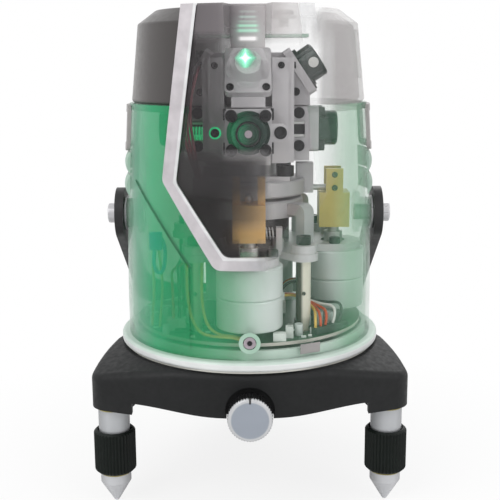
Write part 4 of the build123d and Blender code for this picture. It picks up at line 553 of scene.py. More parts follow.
@dataclass(frozen=True)
class StarGlow(Finish):
    """Laser light on a lens: a four pointed star that fades out."""

    centre: Point = BLACK
    reach: Point = (0.004, 1.0, 0.008)
    glow: float = 1.0
    sharp: float = 0.5
    fade: Pair = (0.15, 1.0)
    tint: Pair = (0.3, 0.85)

    def paint(self, shader: Shader) -> None:
        """Lays the glow and its fading edge.

        Args:
            shader: Material to dress.
        """
        super().paint(shader)
        arms = []
        for axis in (Axis.X, Axis.Z):
            out = shader.apart(shader.along(axis), self.centre[axis.value])
            arms.append(shader.calc("POWER", shader.spread(out, 0.0, self.reach[axis.value]), self.sharp))
        total = shader.calc("ADD", *arms)
        shader.drive("Alpha", shader.spread(total, *self.fade, 1.0, 0.0))
        light = shader.ramp(total, list(zip(self.tint, (self.worn, self.colour))))
        shader.drive("Emission Color", light)
        shader.fixed(Emission_Strength=self.glow)


@dataclass(frozen=True)
class RibbedMetal(Finish):
    """Turned or threaded metal with rings across Z, with painted shade towards its sides that leaves a
    painted highlight down its middle.
    """

    pitch: float = 0.001
    rib_depth: float = 0.0002
    rib_strength: float = 0.7
    side_shade_share: float = 1.0
    highlight_facing: float = 0.1
    side: Pair = (0.4, 1.05)

    def paint(self, shader: Shader) -> None:
        """Lays the rings over the plain finish, and the painted highlight and shade.

        Args:
            shader: Material to dress.
        """
        inputs = {"Scale": WAVE_UNIT / self.pitch, "Distortion": 0.0, "Vector": shader.place}
        wave = shader.add("TexWave", inputs, wave_type="BANDS", bands_direction=Axis.Z.name)
        shader.bump(wave.outputs["Fac"], self.rib_strength, self.rib_depth)
        # Painted highlight where the surface faces the front, painted shade towards its sides.
        turned = shader.apart(shader.along(Axis.X, shader.facing), self.highlight_facing)
        bright = shader.mottled(self.colour)
        dark = shader.dim(bright, self.side_shade_share)
        shader.drive("Base Color", shader.blend(shader.spread(turned, *self.side), bright, dark))


@dataclass(frozen=True)
class CircuitBoard(Finish):
    """Solder mask with paler tracks, and a bare cut edge."""

    track: Colour = BLACK
    cut_edge: Colour = BLACK
    tracks_per_metre: float = 160.0
    track_width: float = 0.03
    track_strength: float = 0.4
    level: Pair = (0.2, 0.4)

    def paint(self, shader: Shader) -> None:
        """Lays the mask, its tracks and their relief.

        Args:
            shader: Material to dress.
        """
        inputs = {"Scale": self.tracks_per_metre, "Mortar Size": self.track_width, "Vector": shader.place}
        for name, colour in (("Color1", self.colour), ("Color2", self.worn), ("Mortar", self.track)):
            inputs[name] = (*colour, 1.0)
        bricks = shader.add("TexBrick", inputs)
        upward = shader.along(Axis.Z, shader.facing)
        level = shader.spread(shader.times(upward, upward), *self.level)
        mask = shader.blend(level, shader.mottled(self.cut_edge), bricks.outputs["Color"])
        shader.drive("Base Color", mask)
        shader.bump(bricks.outputs["Fac"], self.track_strength, self.grain_depth)


@dataclass(frozen=True)
class LitGlass(Finish):
    """Glass with a painted glow, though it is no lamp, brighter in its middle clouds."""

    glow: float = 1.0
    tint: Pair = (0.2, 0.8)

    def paint(self, shader: Shader) -> None:
        """Lays the glow over the plain finish.

        Args:
            shader: Material to dress.
        """
        super().paint(shader)
        clouds = shader.noise((self.cloud,) * 3, 2.0)
        light = shader.ramp(clouds, list(zip(self.tint, (self.worn, self.colour))))
        shader.drive("Emission Color", light)
        shader.fixed(Emission_Strength=self.glow)


CALM = {"grain": (350.0, 350.0, 350.0), "grain_strength": 0.03}
DRAWN = {"grain": (120.0, 120.0, 700.0), "grain_strength": 0.1}
MILLED = {"grain": (600.0, 600.0, 90.0), "grain_strength": 0.08}
SPUN = {"grain": (90.0, 90.0, 500.0), "grain_strength": 0.06}
# Turned parts: painted shade towards their sides, down to a share of their light.
TURNED = {
    "grain": (60.0, 60.0, 500.0), "grain_strength": 0.05,
    "pitch": 0.0007, "rib_depth": 0.000004, "side_shade_share": 0.66,
}
CAST = {"grain": (420.0, 420.0, 420.0), "grain_strength": 0.12, "grain_depth": 0.00004, "shine": 0.3}

DARK = (40, 38, 38)
PANEL_CLEAR = (34, 220, 220, 220, 0.02)
# Left part of the grey cap; its paler outermost stop at the left side is a painted reflection.
CAP_LEFT = (
    (-58, 112, 108, 107, 0.96), (-46, 76, 72, 71, 0.95), (-30, 62, 58, 57, 0.94), (-14, 120, 114, 116, 0.6),
    (2, 160, 154, 156, 0.2),
)
CAP_RIGHT = (58, 172, 167, 165, 0.38)
BEZEL_LEFT = ((-41, 212, 206, 210, 1.0), (-6, 208, 204, 207, 1.0), (3, 200, 199, 202, 0.9))

# Green shell's tint and density across X; the pale outermost stops at both sides are painted reflection.
HOUSING_ZONES = (
    Zone(0.0, (
        (-62, 196, 226, 208, 0.55), (-54, 116, 194, 158, 0.52), (-45, 34, 192, 128, 0.49),
        (-36, 14, 170, 106, 0.51), (-24, 28, 178, 110, 0.41), (-15, 60, 184, 124, 0.33),
        (-8, 84, 184, 128, 0.29), (2, 140, 204, 166, 0.12), (10, 170, 214, 186, 0.05),
        (38, 170, 222, 192, 0.05), (48, 128, 206, 158, 0.22), (56, 150, 210, 174, 0.26),
        (62, 196, 222, 206, 0.30),
    )),
)
CAP_ZONES = (
    Zone(0.0, (
        *CAP_LEFT, (14, 196, 192, 192, 0.05), (37, 196, 192, 192, 0.03), (40.5, 168, 162, 162, 0.31),
        CAP_RIGHT,
    )),
    Zone(0.176, (
        *CAP_LEFT, (14, 196, 192, 192, 0.08), (33, 196, 192, 192, 0.05), (36, 168, 162, 162, 0.31),
        CAP_RIGHT,
    )),
)
# Smoked front panel by height: its own smoked grey, with dark dense bands painted as the shadow of the works
# behind it, such as either side of the lead screw and below the plates.
PANEL_TINT_AND_SHADOW_ZONES = (
    Zone(0.0, (
        (-34, *DARK, 0.90), (-4.6, *DARK, 0.91), (-3.9, 150, 146, 144, 0.08), (3.4, 150, 146, 144, 0.06),
        (4.2, *DARK, 0.66), (8.6, *DARK, 0.46), (10.0, 170, 165, 160, 0.04), PANEL_CLEAR,
    )),
    Zone(0.0835, (
        (-34, *DARK, 0.90), (-14, *DARK, 0.86), (-9.5, 60, 55, 52, 0.50), (-4, 110, 100, 90, 0.14),
        (8, 170, 165, 160, 0.05), PANEL_CLEAR,
    )),
    Zone(0.092, (
        (-34, *DARK, 0.90), (-16, *DARK, 0.86), (-10, 60, 57, 57, 0.62), (0, 84, 82, 82, 0.42),
        (8, 120, 118, 118, 0.20), (12, 190, 188, 188, 0.03),
    )),
    Zone(0.106, (
        (-34, 58, 55, 56, 0.84), (-12, 54, 52, 53, 0.82), (0, 70, 68, 69, 0.70), (7, 96, 94, 95, 0.48),
        (10, 190, 188, 188, 0.05), PANEL_CLEAR,
    )),
    Zone(0.1235, (
        (-34, 80, 76, 78, 0.48), (-27, 62, 59, 61, 0.40), (-15, 66, 63, 65, 0.28), (-12, 80, 78, 79, 0.20),
        (-10, 150, 148, 150, 0.03), PANEL_CLEAR,
    )),
    Zone(0.146, (
        (-34, 100, 96, 98, 0.50), (-27, 78, 74, 76, 0.41), (-15, 84, 80, 82, 0.30), (-12, 96, 93, 95, 0.20),
        (-10, 160, 158, 160, 0.03), PANEL_CLEAR,
    )),
    Zone(0.1745, (
        (-34, 110, 105, 108, 0.78), (-13, 122, 116, 119, 0.78), (0, 176, 170, 172, 0.66),
        (13, 206, 201, 201, 0.62), (20, 226, 223, 223, 0.48), (34, 238, 236, 236, 0.28),
    )),
)
BEZEL_ZONES = (
    Zone(0.0, (*BEZEL_LEFT, (9, 225, 225, 226, 0.15), (14, 240, 240, 240, 0.03), (41, 248, 248, 248, 0.03))),
    Zone(0.1815, (*BEZEL_LEFT, (9, 232, 232, 233, 0.3), (14, 246, 246, 246, 0.45), (41, 252, 252, 252, 0.5))),
)
# Grip pads' tint across X; the pale outermost stops at both sides are painted reflection.
GRIP_ZONES = (
    Zone(0.0, (
        (-62, 176, 204, 188, 0.95), (-40, 120, 186, 150, 0.9), (20, 150, 190, 168, 0.35),
        (54, 176, 206, 190, 0.35), (62, 172, 198, 182, 0.8),
    )),
)
RECESS_BARS = (
    (0.1765, 0.0052, 0.0066, srgb(84, 104, 96)), (0.1858, 0.0006, 0.0040, srgb(90, 112, 104)),
    (0.1835, 0.0006, 0.0042, srgb(120, 160, 146)), (0.1815, 0.0006, 0.0046, srgb(104, 150, 130)),
    (0.1797, 0.0008, 0.0050, srgb(120, 214, 172)), (0.1776, 0.0009, 0.0052, srgb(130, 216, 180)),
    (0.1741, 0.0011, 0.0044, srgb(255, 255, 255)),
)
# Painted sheen across the front barrel: bright green on its lit left, dark green to its right.
BARREL_PAINTED_SHEEN = (
    (0.0, srgb(28, 50, 42)), (0.13, srgb(26, 150, 98)), (0.34, srgb(22, 96, 66)), (0.62, srgb(24, 52, 43)),
    (1.0, srgb(28, 50, 42)),
)
# Name, colour, worn colour, roughness, share of metal and texture of each plain finish.
PLAIN = (
    ("black_casting_paint", (24, 25, 26), (19, 20, 21), 0.55, 0.0, CAST),
    ("black_moulding", (44, 43, 44), (36, 35, 36), 0.45, 0.0, {**CALM, "shine": 0.35}),
    ("collar_plastic", (12, 20, 16), (8, 14, 11), 0.55, 0.0, {**CALM, "shine": 0.25}),
    ("frame_grey_plastic", (164, 160, 159), (150, 147, 146), 0.45, 0.0, CALM),
    ("machined_brass", (240, 196, 124), (226, 178, 106), 0.4, 0.2, DRAWN),
    ("olive_brass", (208, 188, 108), (194, 172, 92), 0.4, 0.2, DRAWN),
    ("olive_screw", (84, 104, 70), (70, 90, 58), 0.4, 0.2, CALM),
    # Dark grey of the drum put where there is only shade round the gimbal.
    ("drum_grey", (58, 56, 57), (48, 46, 47), 0.5, 0.0, CALM),
    ("pale_board", (176, 208, 188), (164, 198, 178), 0.5, 0.0, CALM),
    ("machined_steel", (214, 213, 215), (190, 190, 193), 0.3, 0.5, DRAWN),
    ("black_screw_steel", (34, 34, 36), (24, 24, 26), 0.4, 0.3, CALM),
    ("milled_alloy", (206, 203, 205), (188, 185, 188), 0.42, 0.2, MILLED),
    ("cast_alloy", (198, 196, 198), (180, 178, 181), 0.48, 0.2, CALM),
    ("drawn_can", (216, 222, 220), (202, 210, 206), 0.38, 0.15, SPUN),
    ("pale_pack_film", (226, 232, 228), (210, 218, 213), 0.4, 0.0, CALM),
    ("soft_button", (222, 220, 219), (208, 206, 205), 0.6, 0.0, CALM),
    ("chip_resin", (40, 44, 43), (30, 34, 33), 0.5, 0.0, CALM),
    ("red_insulation", (214, 84, 36), (196, 66, 26), 0.45, 0.0, CALM),
    ("yellow_insulation", (226, 190, 92), (208, 170, 74), 0.45, 0.0, CALM),
    ("white_insulation", (236, 236, 232), (220, 220, 216), 0.45, 0.0, CALM),
    ("black_insulation", (42, 42, 44), (30, 30, 32), 0.45, 0.0, CALM),
    ("blue_insulation", (36, 140, 226), (26, 118, 200), 0.45, 0.0, CALM),
    ("pink_insulation", (214, 132, 140), (196, 110, 120), 0.45, 0.0, CALM),
    ("roller_rubber", (36, 36, 36), (28, 28, 28), 0.8, 0.0, CALM),
    ("slide_plastic", (222, 222, 214), (206, 206, 198), 0.4, 0.0, CALM),
    ("yellowed_ring", (172, 160, 96), (150, 138, 76), 0.4, 0.3, CALM),
    ("boss_plastic", (176, 206, 188), (160, 194, 174), 0.35, 0.0, CALM),
    ("mauve_screw", (178, 166, 174), (160, 150, 157), 0.35, 0.5, CALM),
)


class Finishes:
    """All finishes of the level, each made once."""

    def __init__(self) -> None:
        """Makes the materials."""
        specs = [
            # Green shell: a dark strip painted as the shade along the front crease.
            TintedShell("tinted_green_shell", roughness=0.2, coat=0.25, zones=HOUSING_ZONES,
                        crease=((-53.4, 108.6), (-27.0, 71.8)), **CALM),
            TintedShell("smoked_grey_shell", roughness=0.34, coat=0.1, zones=CAP_ZONES, half_width=0.058,
                        soft=0.006, **CALM),
            TintedShell("smoked_front_panel", roughness=0.14, coat=0.06, shine=0.3, zones=PANEL_TINT_AND_SHADOW_ZONES,
                        half_width=0.034, soft=0.003, **CALM),
            # Silver rail: a pale strip painted as a highlight along its edge.
            TintedShell("silver_bezel_paint", roughness=0.34, metallic=0.2, zones=BEZEL_ZONES,
                        half_width=0.041, soft=0.008, cloud=150.0, patch=0.8, highlight_width=1.35,
                        edge=((-22.4, 189.2), (-32.8, 111.0), (-11.0, 78.0), (0.0, 78.0)), **CALM),
            TintedShell("grip_rubber", roughness=0.5, zones=GRIP_ZONES, **CALM),
            RibbedMetal("turned_alloy", srgb(216, 217, 220), roughness=0.34, metallic=0.4, **TURNED),
            RibbedMetal("sleeve_alloy", srgb(194, 196, 199), roughness=0.34, metallic=0.4, **TURNED),
            RibbedMetal("threaded_steel", srgb(212, 210, 208), roughness=0.34, metallic=0.5,
                        rib_depth=0.00008, **DRAWN),
            TurnedKnob("knob_alloy", srgb(160, 167, 178), roughness=0.34, metallic=0.15,
                       rim=srgb(206, 207, 209), back=srgb(26, 26, 27), grain=(300.0, 300.0, 300.0),
                       grain_strength=0.05),
            ShadedRod("cream_column", srgb(238, 232, 216), roughness=0.22, metallic=0.1,
                      shade=srgb(74, 66, 58), **CALM),
            Banded("white_rim_paint", srgb(236, 238, 237), srgb(224, 227, 226), 0.36, 0.05,
                   bands=((0.0284, srgb(214, 231, 221)),), **CALM),
            Banded("white_connector", srgb(226, 230, 226), srgb(208, 214, 208), 0.5, axis=Axis.X,
                   bands=((0.0295, srgb(62, 84, 72)),), **CALM),
            # Lens glass: its own colour is the dark green; the bright green left of X -2.5 mm is painted
            # light on its lit side.
            Banded("green_glass", srgb(40, 160, 110), srgb(30, 138, 92), 0.08, axis=Axis.X, edge=0.0035,
                   bands=((-0.0025, srgb(16, 64, 46)),), coat=0.6, **CALM),
            Banded("slot_insert", srgb(238, 237, 236), srgb(228, 227, 226), 0.4,
                   bands=((0.1290, srgb(24, 24, 25)), (0.1340, srgb(238, 237, 236))), **CALM),
            FrontTop("clear_pane", srgb(214, 226, 219), srgb(204, 218, 210), 0.08, front_y=-0.040,
                     above_z=0.160, front_colour=srgb(176, 170, 174), front_alpha=0.72, alpha=0.16, **CALM),
            # Barrels: a pale painted glow on their clearer front, and a painted sheen across the front
            # barrel.
            FrontTop("anodised_green", roughness=0.3, metallic=0.2, front_colour=srgb(222, 218, 221),
                     front_alpha=0.13, glow=0.55, sheen=BARREL_PAINTED_SHEEN, **CALM),
            # Lenses: a pale painted glow on their clearer front.
            FrontTop("lit_lens", srgb(30, 120, 80), srgb(12, 66, 44), 0.1, front_colour=srgb(206, 220, 212),
                     front_alpha=0.25, glow=0.5, **CALM),
            CircuitBoard("solder_mask", srgb(12, 56, 33), srgb(10, 48, 28), 0.35, track=srgb(48, 104, 68),
                         cut_edge=srgb(200, 194, 186)),
            # Painted green glow on the adjuster's thread rings and stop rim, which are no lamp.
            LitGlass("green_glow", srgb(40, 214, 140), srgb(14, 150, 88), 0.2, glow=1.3, **CALM),
            # Lit recess: its darker colour is painted shade on the recess's left.
            BeamGlow("recess_light", srgb(196, 191, 192), srgb(112, 106, 109), 0.3, glow=0.62,
                     bars=RECESS_BARS, **CALM),
            StarGlow("star_halo", srgb(60, 200, 150), srgb(190, 250, 226), 0.4, sharp=0.8,
                     centre=(-0.0012, -0.0348, 0.1657), reach=(0.0058, 1.0, 0.0092)),
            StarGlow("star_core", srgb(200, 255, 235), srgb(255, 255, 255), 0.4, glow=1.6,
                     centre=(-0.0012, -0.0350, 0.1658), reach=(0.0046, 1.0, 0.0046)),
        ]
        for name, colour, worn, roughness, metallic, texture in PLAIN:
            specs.append(Finish(name, srgb(*colour), srgb(*worn), roughness, metallic, **texture))
        self.materials = {spec.name: spec.make() for spec in specs}

    def dress(self, piece: Piece, finish: str) -> None:
        """Gives a piece one finish all over."""
        piece.data.materials.clear()
        piece.data.materials.append(self.materials[finish])


# Solids that each finish dresses.
CAD_FINISHES = {
    "black_casting_paint": "tripod_base",
    "machined_brass": "tripod_thread_bush knob_bush front_fork",
    "olive_brass": "right_fork",
    "turned_alloy": "foot_left foot_right foot_rear",
    "sleeve_alloy": "leg_sleeves",
    "collar_plastic": "collar_left collar_right collar_rear",
    "knob_alloy": "fine_knob",
    "roller_rubber": "drive_roller",
    "slide_plastic": "turntable_bearing",
    "white_rim_paint": "turntable",
    "tinted_green_shell": "housing battery_door handle_bosses",
    "smoked_grey_shell": "cap",
    "silver_bezel_paint": "bezel",
    "smoked_front_panel": "front_panel",
    "frame_grey_plastic": "window_frames",
    "clear_pane": "window_glass",
    "grip_rubber": "grip_pads",
    "mauve_screw": "front_screw",
    "machined_steel": "knob_shaft handle_pivots coil_spring gimbal_cross tilt_pins",
    "threaded_steel": "front_lead_screw right_lead_screw",
    "solder_mask": "main_board",
    "pale_pack_film": "battery_pack",
    "pale_board": "key_board",
    "cream_column": "chassis_columns",
    "milled_alloy": "chassis_plate line_mounts line_plates fan_plates head_tower",
    "cast_alloy": "gimbal_base head_disc",
    "black_screw_steel": "chassis_screws head_screws",
    "white_connector": "board_connectors",
    "drawn_can": "motor_cans gearbox_cans",
    "black_moulding": "bail_handle",
    "anodised_green": "laser_barrels",
    "lit_lens": "barrel_lenses",
    "soft_button": "button_power button_lines button_light",
    "red_insulation": "wires_red",
    "yellow_insulation": "wires_yellow",
    "white_insulation": "wires_white",
    "black_insulation": "wires_black",
    "pink_insulation": "head_wires",
}


@dataclass
class CadDressing:
    """Finish of every CAD node."""

    finishes: Finishes

    def build(self) -> None:
        """Dresses the CAD nodes."""
        plan = {node: finish for finish, nodes in CAD_FINISHES.items() for node in nodes.split()}
        for name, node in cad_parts.items():
            self.finishes.dress(node, plan[name])
            LOG.info("dressed %s with %s", name, plan[name])


class Bench:
    """Bench work that all new pieces share, in millimetres: start forms, shaping and settling."""

    @staticmethod
    def clear() -> None:
        """Leaves edit mode and deselects everything."""
        if bpy.context.mode != "OBJECT":
            bpy.ops.object.mode_set(mode="OBJECT")
        bpy.ops.object.select_all(action="DESELECT")

    @staticmethod
    def hold(*pieces: Piece) -> None:
        """Selects only these pieces and makes the first one active.

        Args:
            pieces: Pieces to hold.
        """
        Bench.clear()
        for piece in pieces:
            piece.select_set(True)
        bpy.context.view_layer.objects.active = pieces[0]

    @staticmethod
    def named(name: str) -> Piece:
        """Names the active piece and puts its size and place into its mesh.

        Args:
            name: Name of the piece.

        Returns:
            The piece.
        """
        piece = bpy.context.active_object
        piece.name = piece.data.name = name
        bpy.ops.object.transform_apply(location=True, rotation=True, scale=True)
        return piece

    @staticmethod
    def bar(name: str, radius: float, length: float, sides: int) -> Piece:
        """Round bar that stands on the origin.

        Args:
            name: Name of the piece.
            radius: Its radius.
            length: Its length along Z.
            sides: Number of its sides.

        Returns:
            The piece.
        """
        Bench.clear()
        size = {"radius": radius * MM, "depth": length * MM, "location": (0, 0, length * MM / 2)}
        bpy.ops.mesh.primitive_cylinder_add(vertices=sides, **size)
        return Bench.named(name)

    @staticmethod
    def slab(name: str, *size: float) -> Piece:
        """Block that stands on the origin.

        Args:
            name: Name of the piece.
            size: Its sides along X, Y and Z.

        Returns:
            The piece.
        """
        Bench.clear()
        scale = [side * MM for side in size]
        bpy.ops.mesh.primitive_cube_add(size=1, location=(0, 0, scale[2] / 2), scale=scale)
        return Bench.named(name)

    @staticmethod
    def pick(piece: Piece, test: Callable[[Vector, Vector], bool]) -> None:
        """Goes into edit mode with the faces selected that pass a test.

        Args:
            piece: Piece to work on.
            test: Says yes or no from a face's middle and normal.
        """
        Bench.hold(piece)
        bpy.context.tool_settings.mesh_select_mode = (False, False, True)
        for part in (*piece.data.vertices, *piece.data.edges):
            part.select = False
        for face in piece.data.polygons:
            face.select = test(face.center, face.normal)
        bpy.ops.object.mode_set(mode="EDIT")

    @staticmethod
    def step(piece: Piece, inset: float, rise: float) -> None:
        """Insets the face in the middle of the top and raises or sinks it.

        Args:
            piece: Piece to work on.
            inset: Width of the rim that stays.
            rise: How far the inner face moves along Z.
        """
        tops = [face for face in piece.data.polygons if face.normal.z > UPWARD]
        inner = min(tops, key=lambda face: math.hypot(face.center.x, face.center.y))
        place = inner.center.copy()
        Bench.pick(piece, lambda middle, normal: normal.z > UPWARD and (middle - place).length < SAME_PLACE)
        bpy.ops.mesh.inset(thickness=inset * MM)
        bpy.ops.mesh.extrude_region_move(TRANSFORM_OT_translate={"value": (0, 0, rise * MM)})
        Bench.clear()

    @staticmethod
    def round_edges(piece: Piece, width: float, segments: int) -> None:
        """Rounds the sharp edges.

        Args:
            piece: Piece to work on.
            width: Width of the rounding.
            segments: Number of its facets.
        """
        Bench.hold(piece)
        bevel = piece.modifiers.new("edge", "BEVEL")
        bevel.width = width * MM
        bevel.segments = segments
        bevel.limit_method = "ANGLE"
        bevel.angle_limit = math.radians(SHARP_DEG)
        bpy.ops.object.modifier_apply(modifier=bevel.name)

    @staticmethod
    def shaped(piece: Piece, width: float, segments: int, *steps: Pair) -> Piece:
        """Steps the top of a start form and rounds its edges.

        Args:
            piece: Start form.
            width: Width of the rounding.
            segments: Number of its facets.
            steps: Inset and rise of each step, from the rim inwards.

        Returns:
            The piece.
        """
        for inset, rise in steps:
            Bench.step(piece, inset, rise)
        Bench.round_edges(piece, width, segments)
        return piece

    @staticmethod
    def ring(name: str, outer: float, inner: float, height: float, sides: int = 48) -> Piece:
        """Flat ring that stands on the origin, bored through.

        Args:
            name: Name of the piece.
            outer: Outer radius.
            inner: Radius of the bore.
            height: Height along Z.
            sides: Number of its sides.

        Returns:
            The piece.
        """
        piece = Bench.bar(name, outer, height, sides)
        Bench.pick(piece, lambda _, normal: abs(normal.z) > UPWARD)
        bpy.ops.mesh.inset(thickness=(outer - inner) * MM)
        bpy.ops.mesh.delete(type="FACE")
        bpy.ops.mesh.select_mode(type="EDGE")
        bpy.ops.mesh.select_non_manifold()
        bpy.ops.mesh.bridge_edge_loops()
        bpy.ops.mesh.select_all(action="SELECT")
        bpy.ops.mesh.normals_make_consistent(inside=False)
        Bench.clear()
        return Bench.shaped(piece, min(height, outer - inner) * RING_EDGE_SHARE, 1)

    @staticmethod
    def place(piece: Piece, matrix: Matrix) -> Piece:
        """Moves a piece and puts the move into its mesh.

        Args:
            piece: Piece to move.
            matrix: Where it goes.

        Returns:
            The piece.
        """
        Bench.hold(piece)
        piece.matrix_world = matrix
        bpy.ops.object.transform_apply(location=True, rotation=True, scale=True)
        return piece

    @staticmethod
    def copy(piece: Piece, name: str, matrix: Matrix) -> Piece:
        """Copies a piece with its own mesh to a new place.

        Args:
            piece: Piece to copy.
            name: Name of the copy.
            matrix: Where the copy goes.

        Returns:
            The copy.
        """
        Bench.hold(piece)
        bpy.ops.object.duplicate()
        twin = bpy.context.active_object
        twin.name = twin.data.name = name
        return Bench.place(twin, matrix)

    @staticmethod
    def join(name: str, pieces: list[Piece]) -> Piece:
        """Makes one piece of several.

        Args:
            name: Name of the whole.
            pieces: Pieces to join.

        Returns:
            The whole.
        """
        Bench.hold(*pieces)
        if len(pieces) > 1:
            bpy.ops.object.join()
        pieces[0].name = pieces[0].data.name = name
        return pieces[0]

    @staticmethod
    def discard(piece: Piece) -> None:
        """Deletes a pattern that was only copied from."""
        Bench.hold(piece)
        bpy.ops.object.delete()


def spot(x: float, y: float, height: float) -> Vector:
    """Place in metres, from millimetres to the right, to the back and above the floor."""
    return Vector((x * MM, y * MM, height * MM + FLOOR_Z))


def shift(x: float, y: float, height: float) -> Matrix:
    """Move to a place given in millimetres, the height above the floor."""
    return Matrix.Translation(spot(x, y, height))


def nudge(x: float, y: float, z: float) -> Matrix:
    """Move by millimetres."""
    return Matrix.Translation((x * MM, y * MM, z * MM))


def turn(degrees: float, axis: Axis) -> Matrix:
    """Turn about one axis."""
    return Matrix.Rotation(math.radians(degrees), 4, axis.name)


def ahead(x: float, y: float, height: float) -> Matrix:
    """Move to a place given in millimetres, and a turn that lets Z point to the front."""
    return shift(x, y, height) @ turn(90, Axis.X)


@dataclass
class Fitting:
    """Group of new pieces that ride on the object's bodies."""

    finishes: Finishes

    def fit(self, piece: Piece, finish: str, body: str, slot: str, *nodes: str) -> None:
        """Dresses a piece, lets it ride on a body and reports it.

        Args:
            piece: Piece to fit.
            finish: Name of its finish, or nothing where its faces have theirs.
            body: Body that it rides on.
            slot: Name of a material slot; not used.
            nodes: Solids that it stands for.
        """
        if finish:
            self.finishes.dress(piece, finish)
        Bench.hold(piece)
        bpy.ops.object.shade_smooth_by_angle(angle=math.radians(SMOOTH_DEG))
        Bench.clear()
        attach(piece, body)
        if nodes:
            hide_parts(*nodes)
        LOG.info("fitted %s on %s", piece.name, body)

    def repeat(self, pattern: Piece, places: dict[str, Matrix], finish: str, body: str, slot: str) -> None:
        """Fits a copy of a pattern at each place and discards the pattern.

        Args:
            pattern: Piece to copy.
            places: Name and place of each copy.
            finish: Name of the finish, or nothing where the faces have theirs.
            body: Body that the copies ride on.
            slot: Name of a material slot, passed on to fit.
        """
        for name, matrix in places.items():
            self.fit(Bench.copy(pattern, name, matrix), finish, body, slot)
        Bench.discard(pattern)


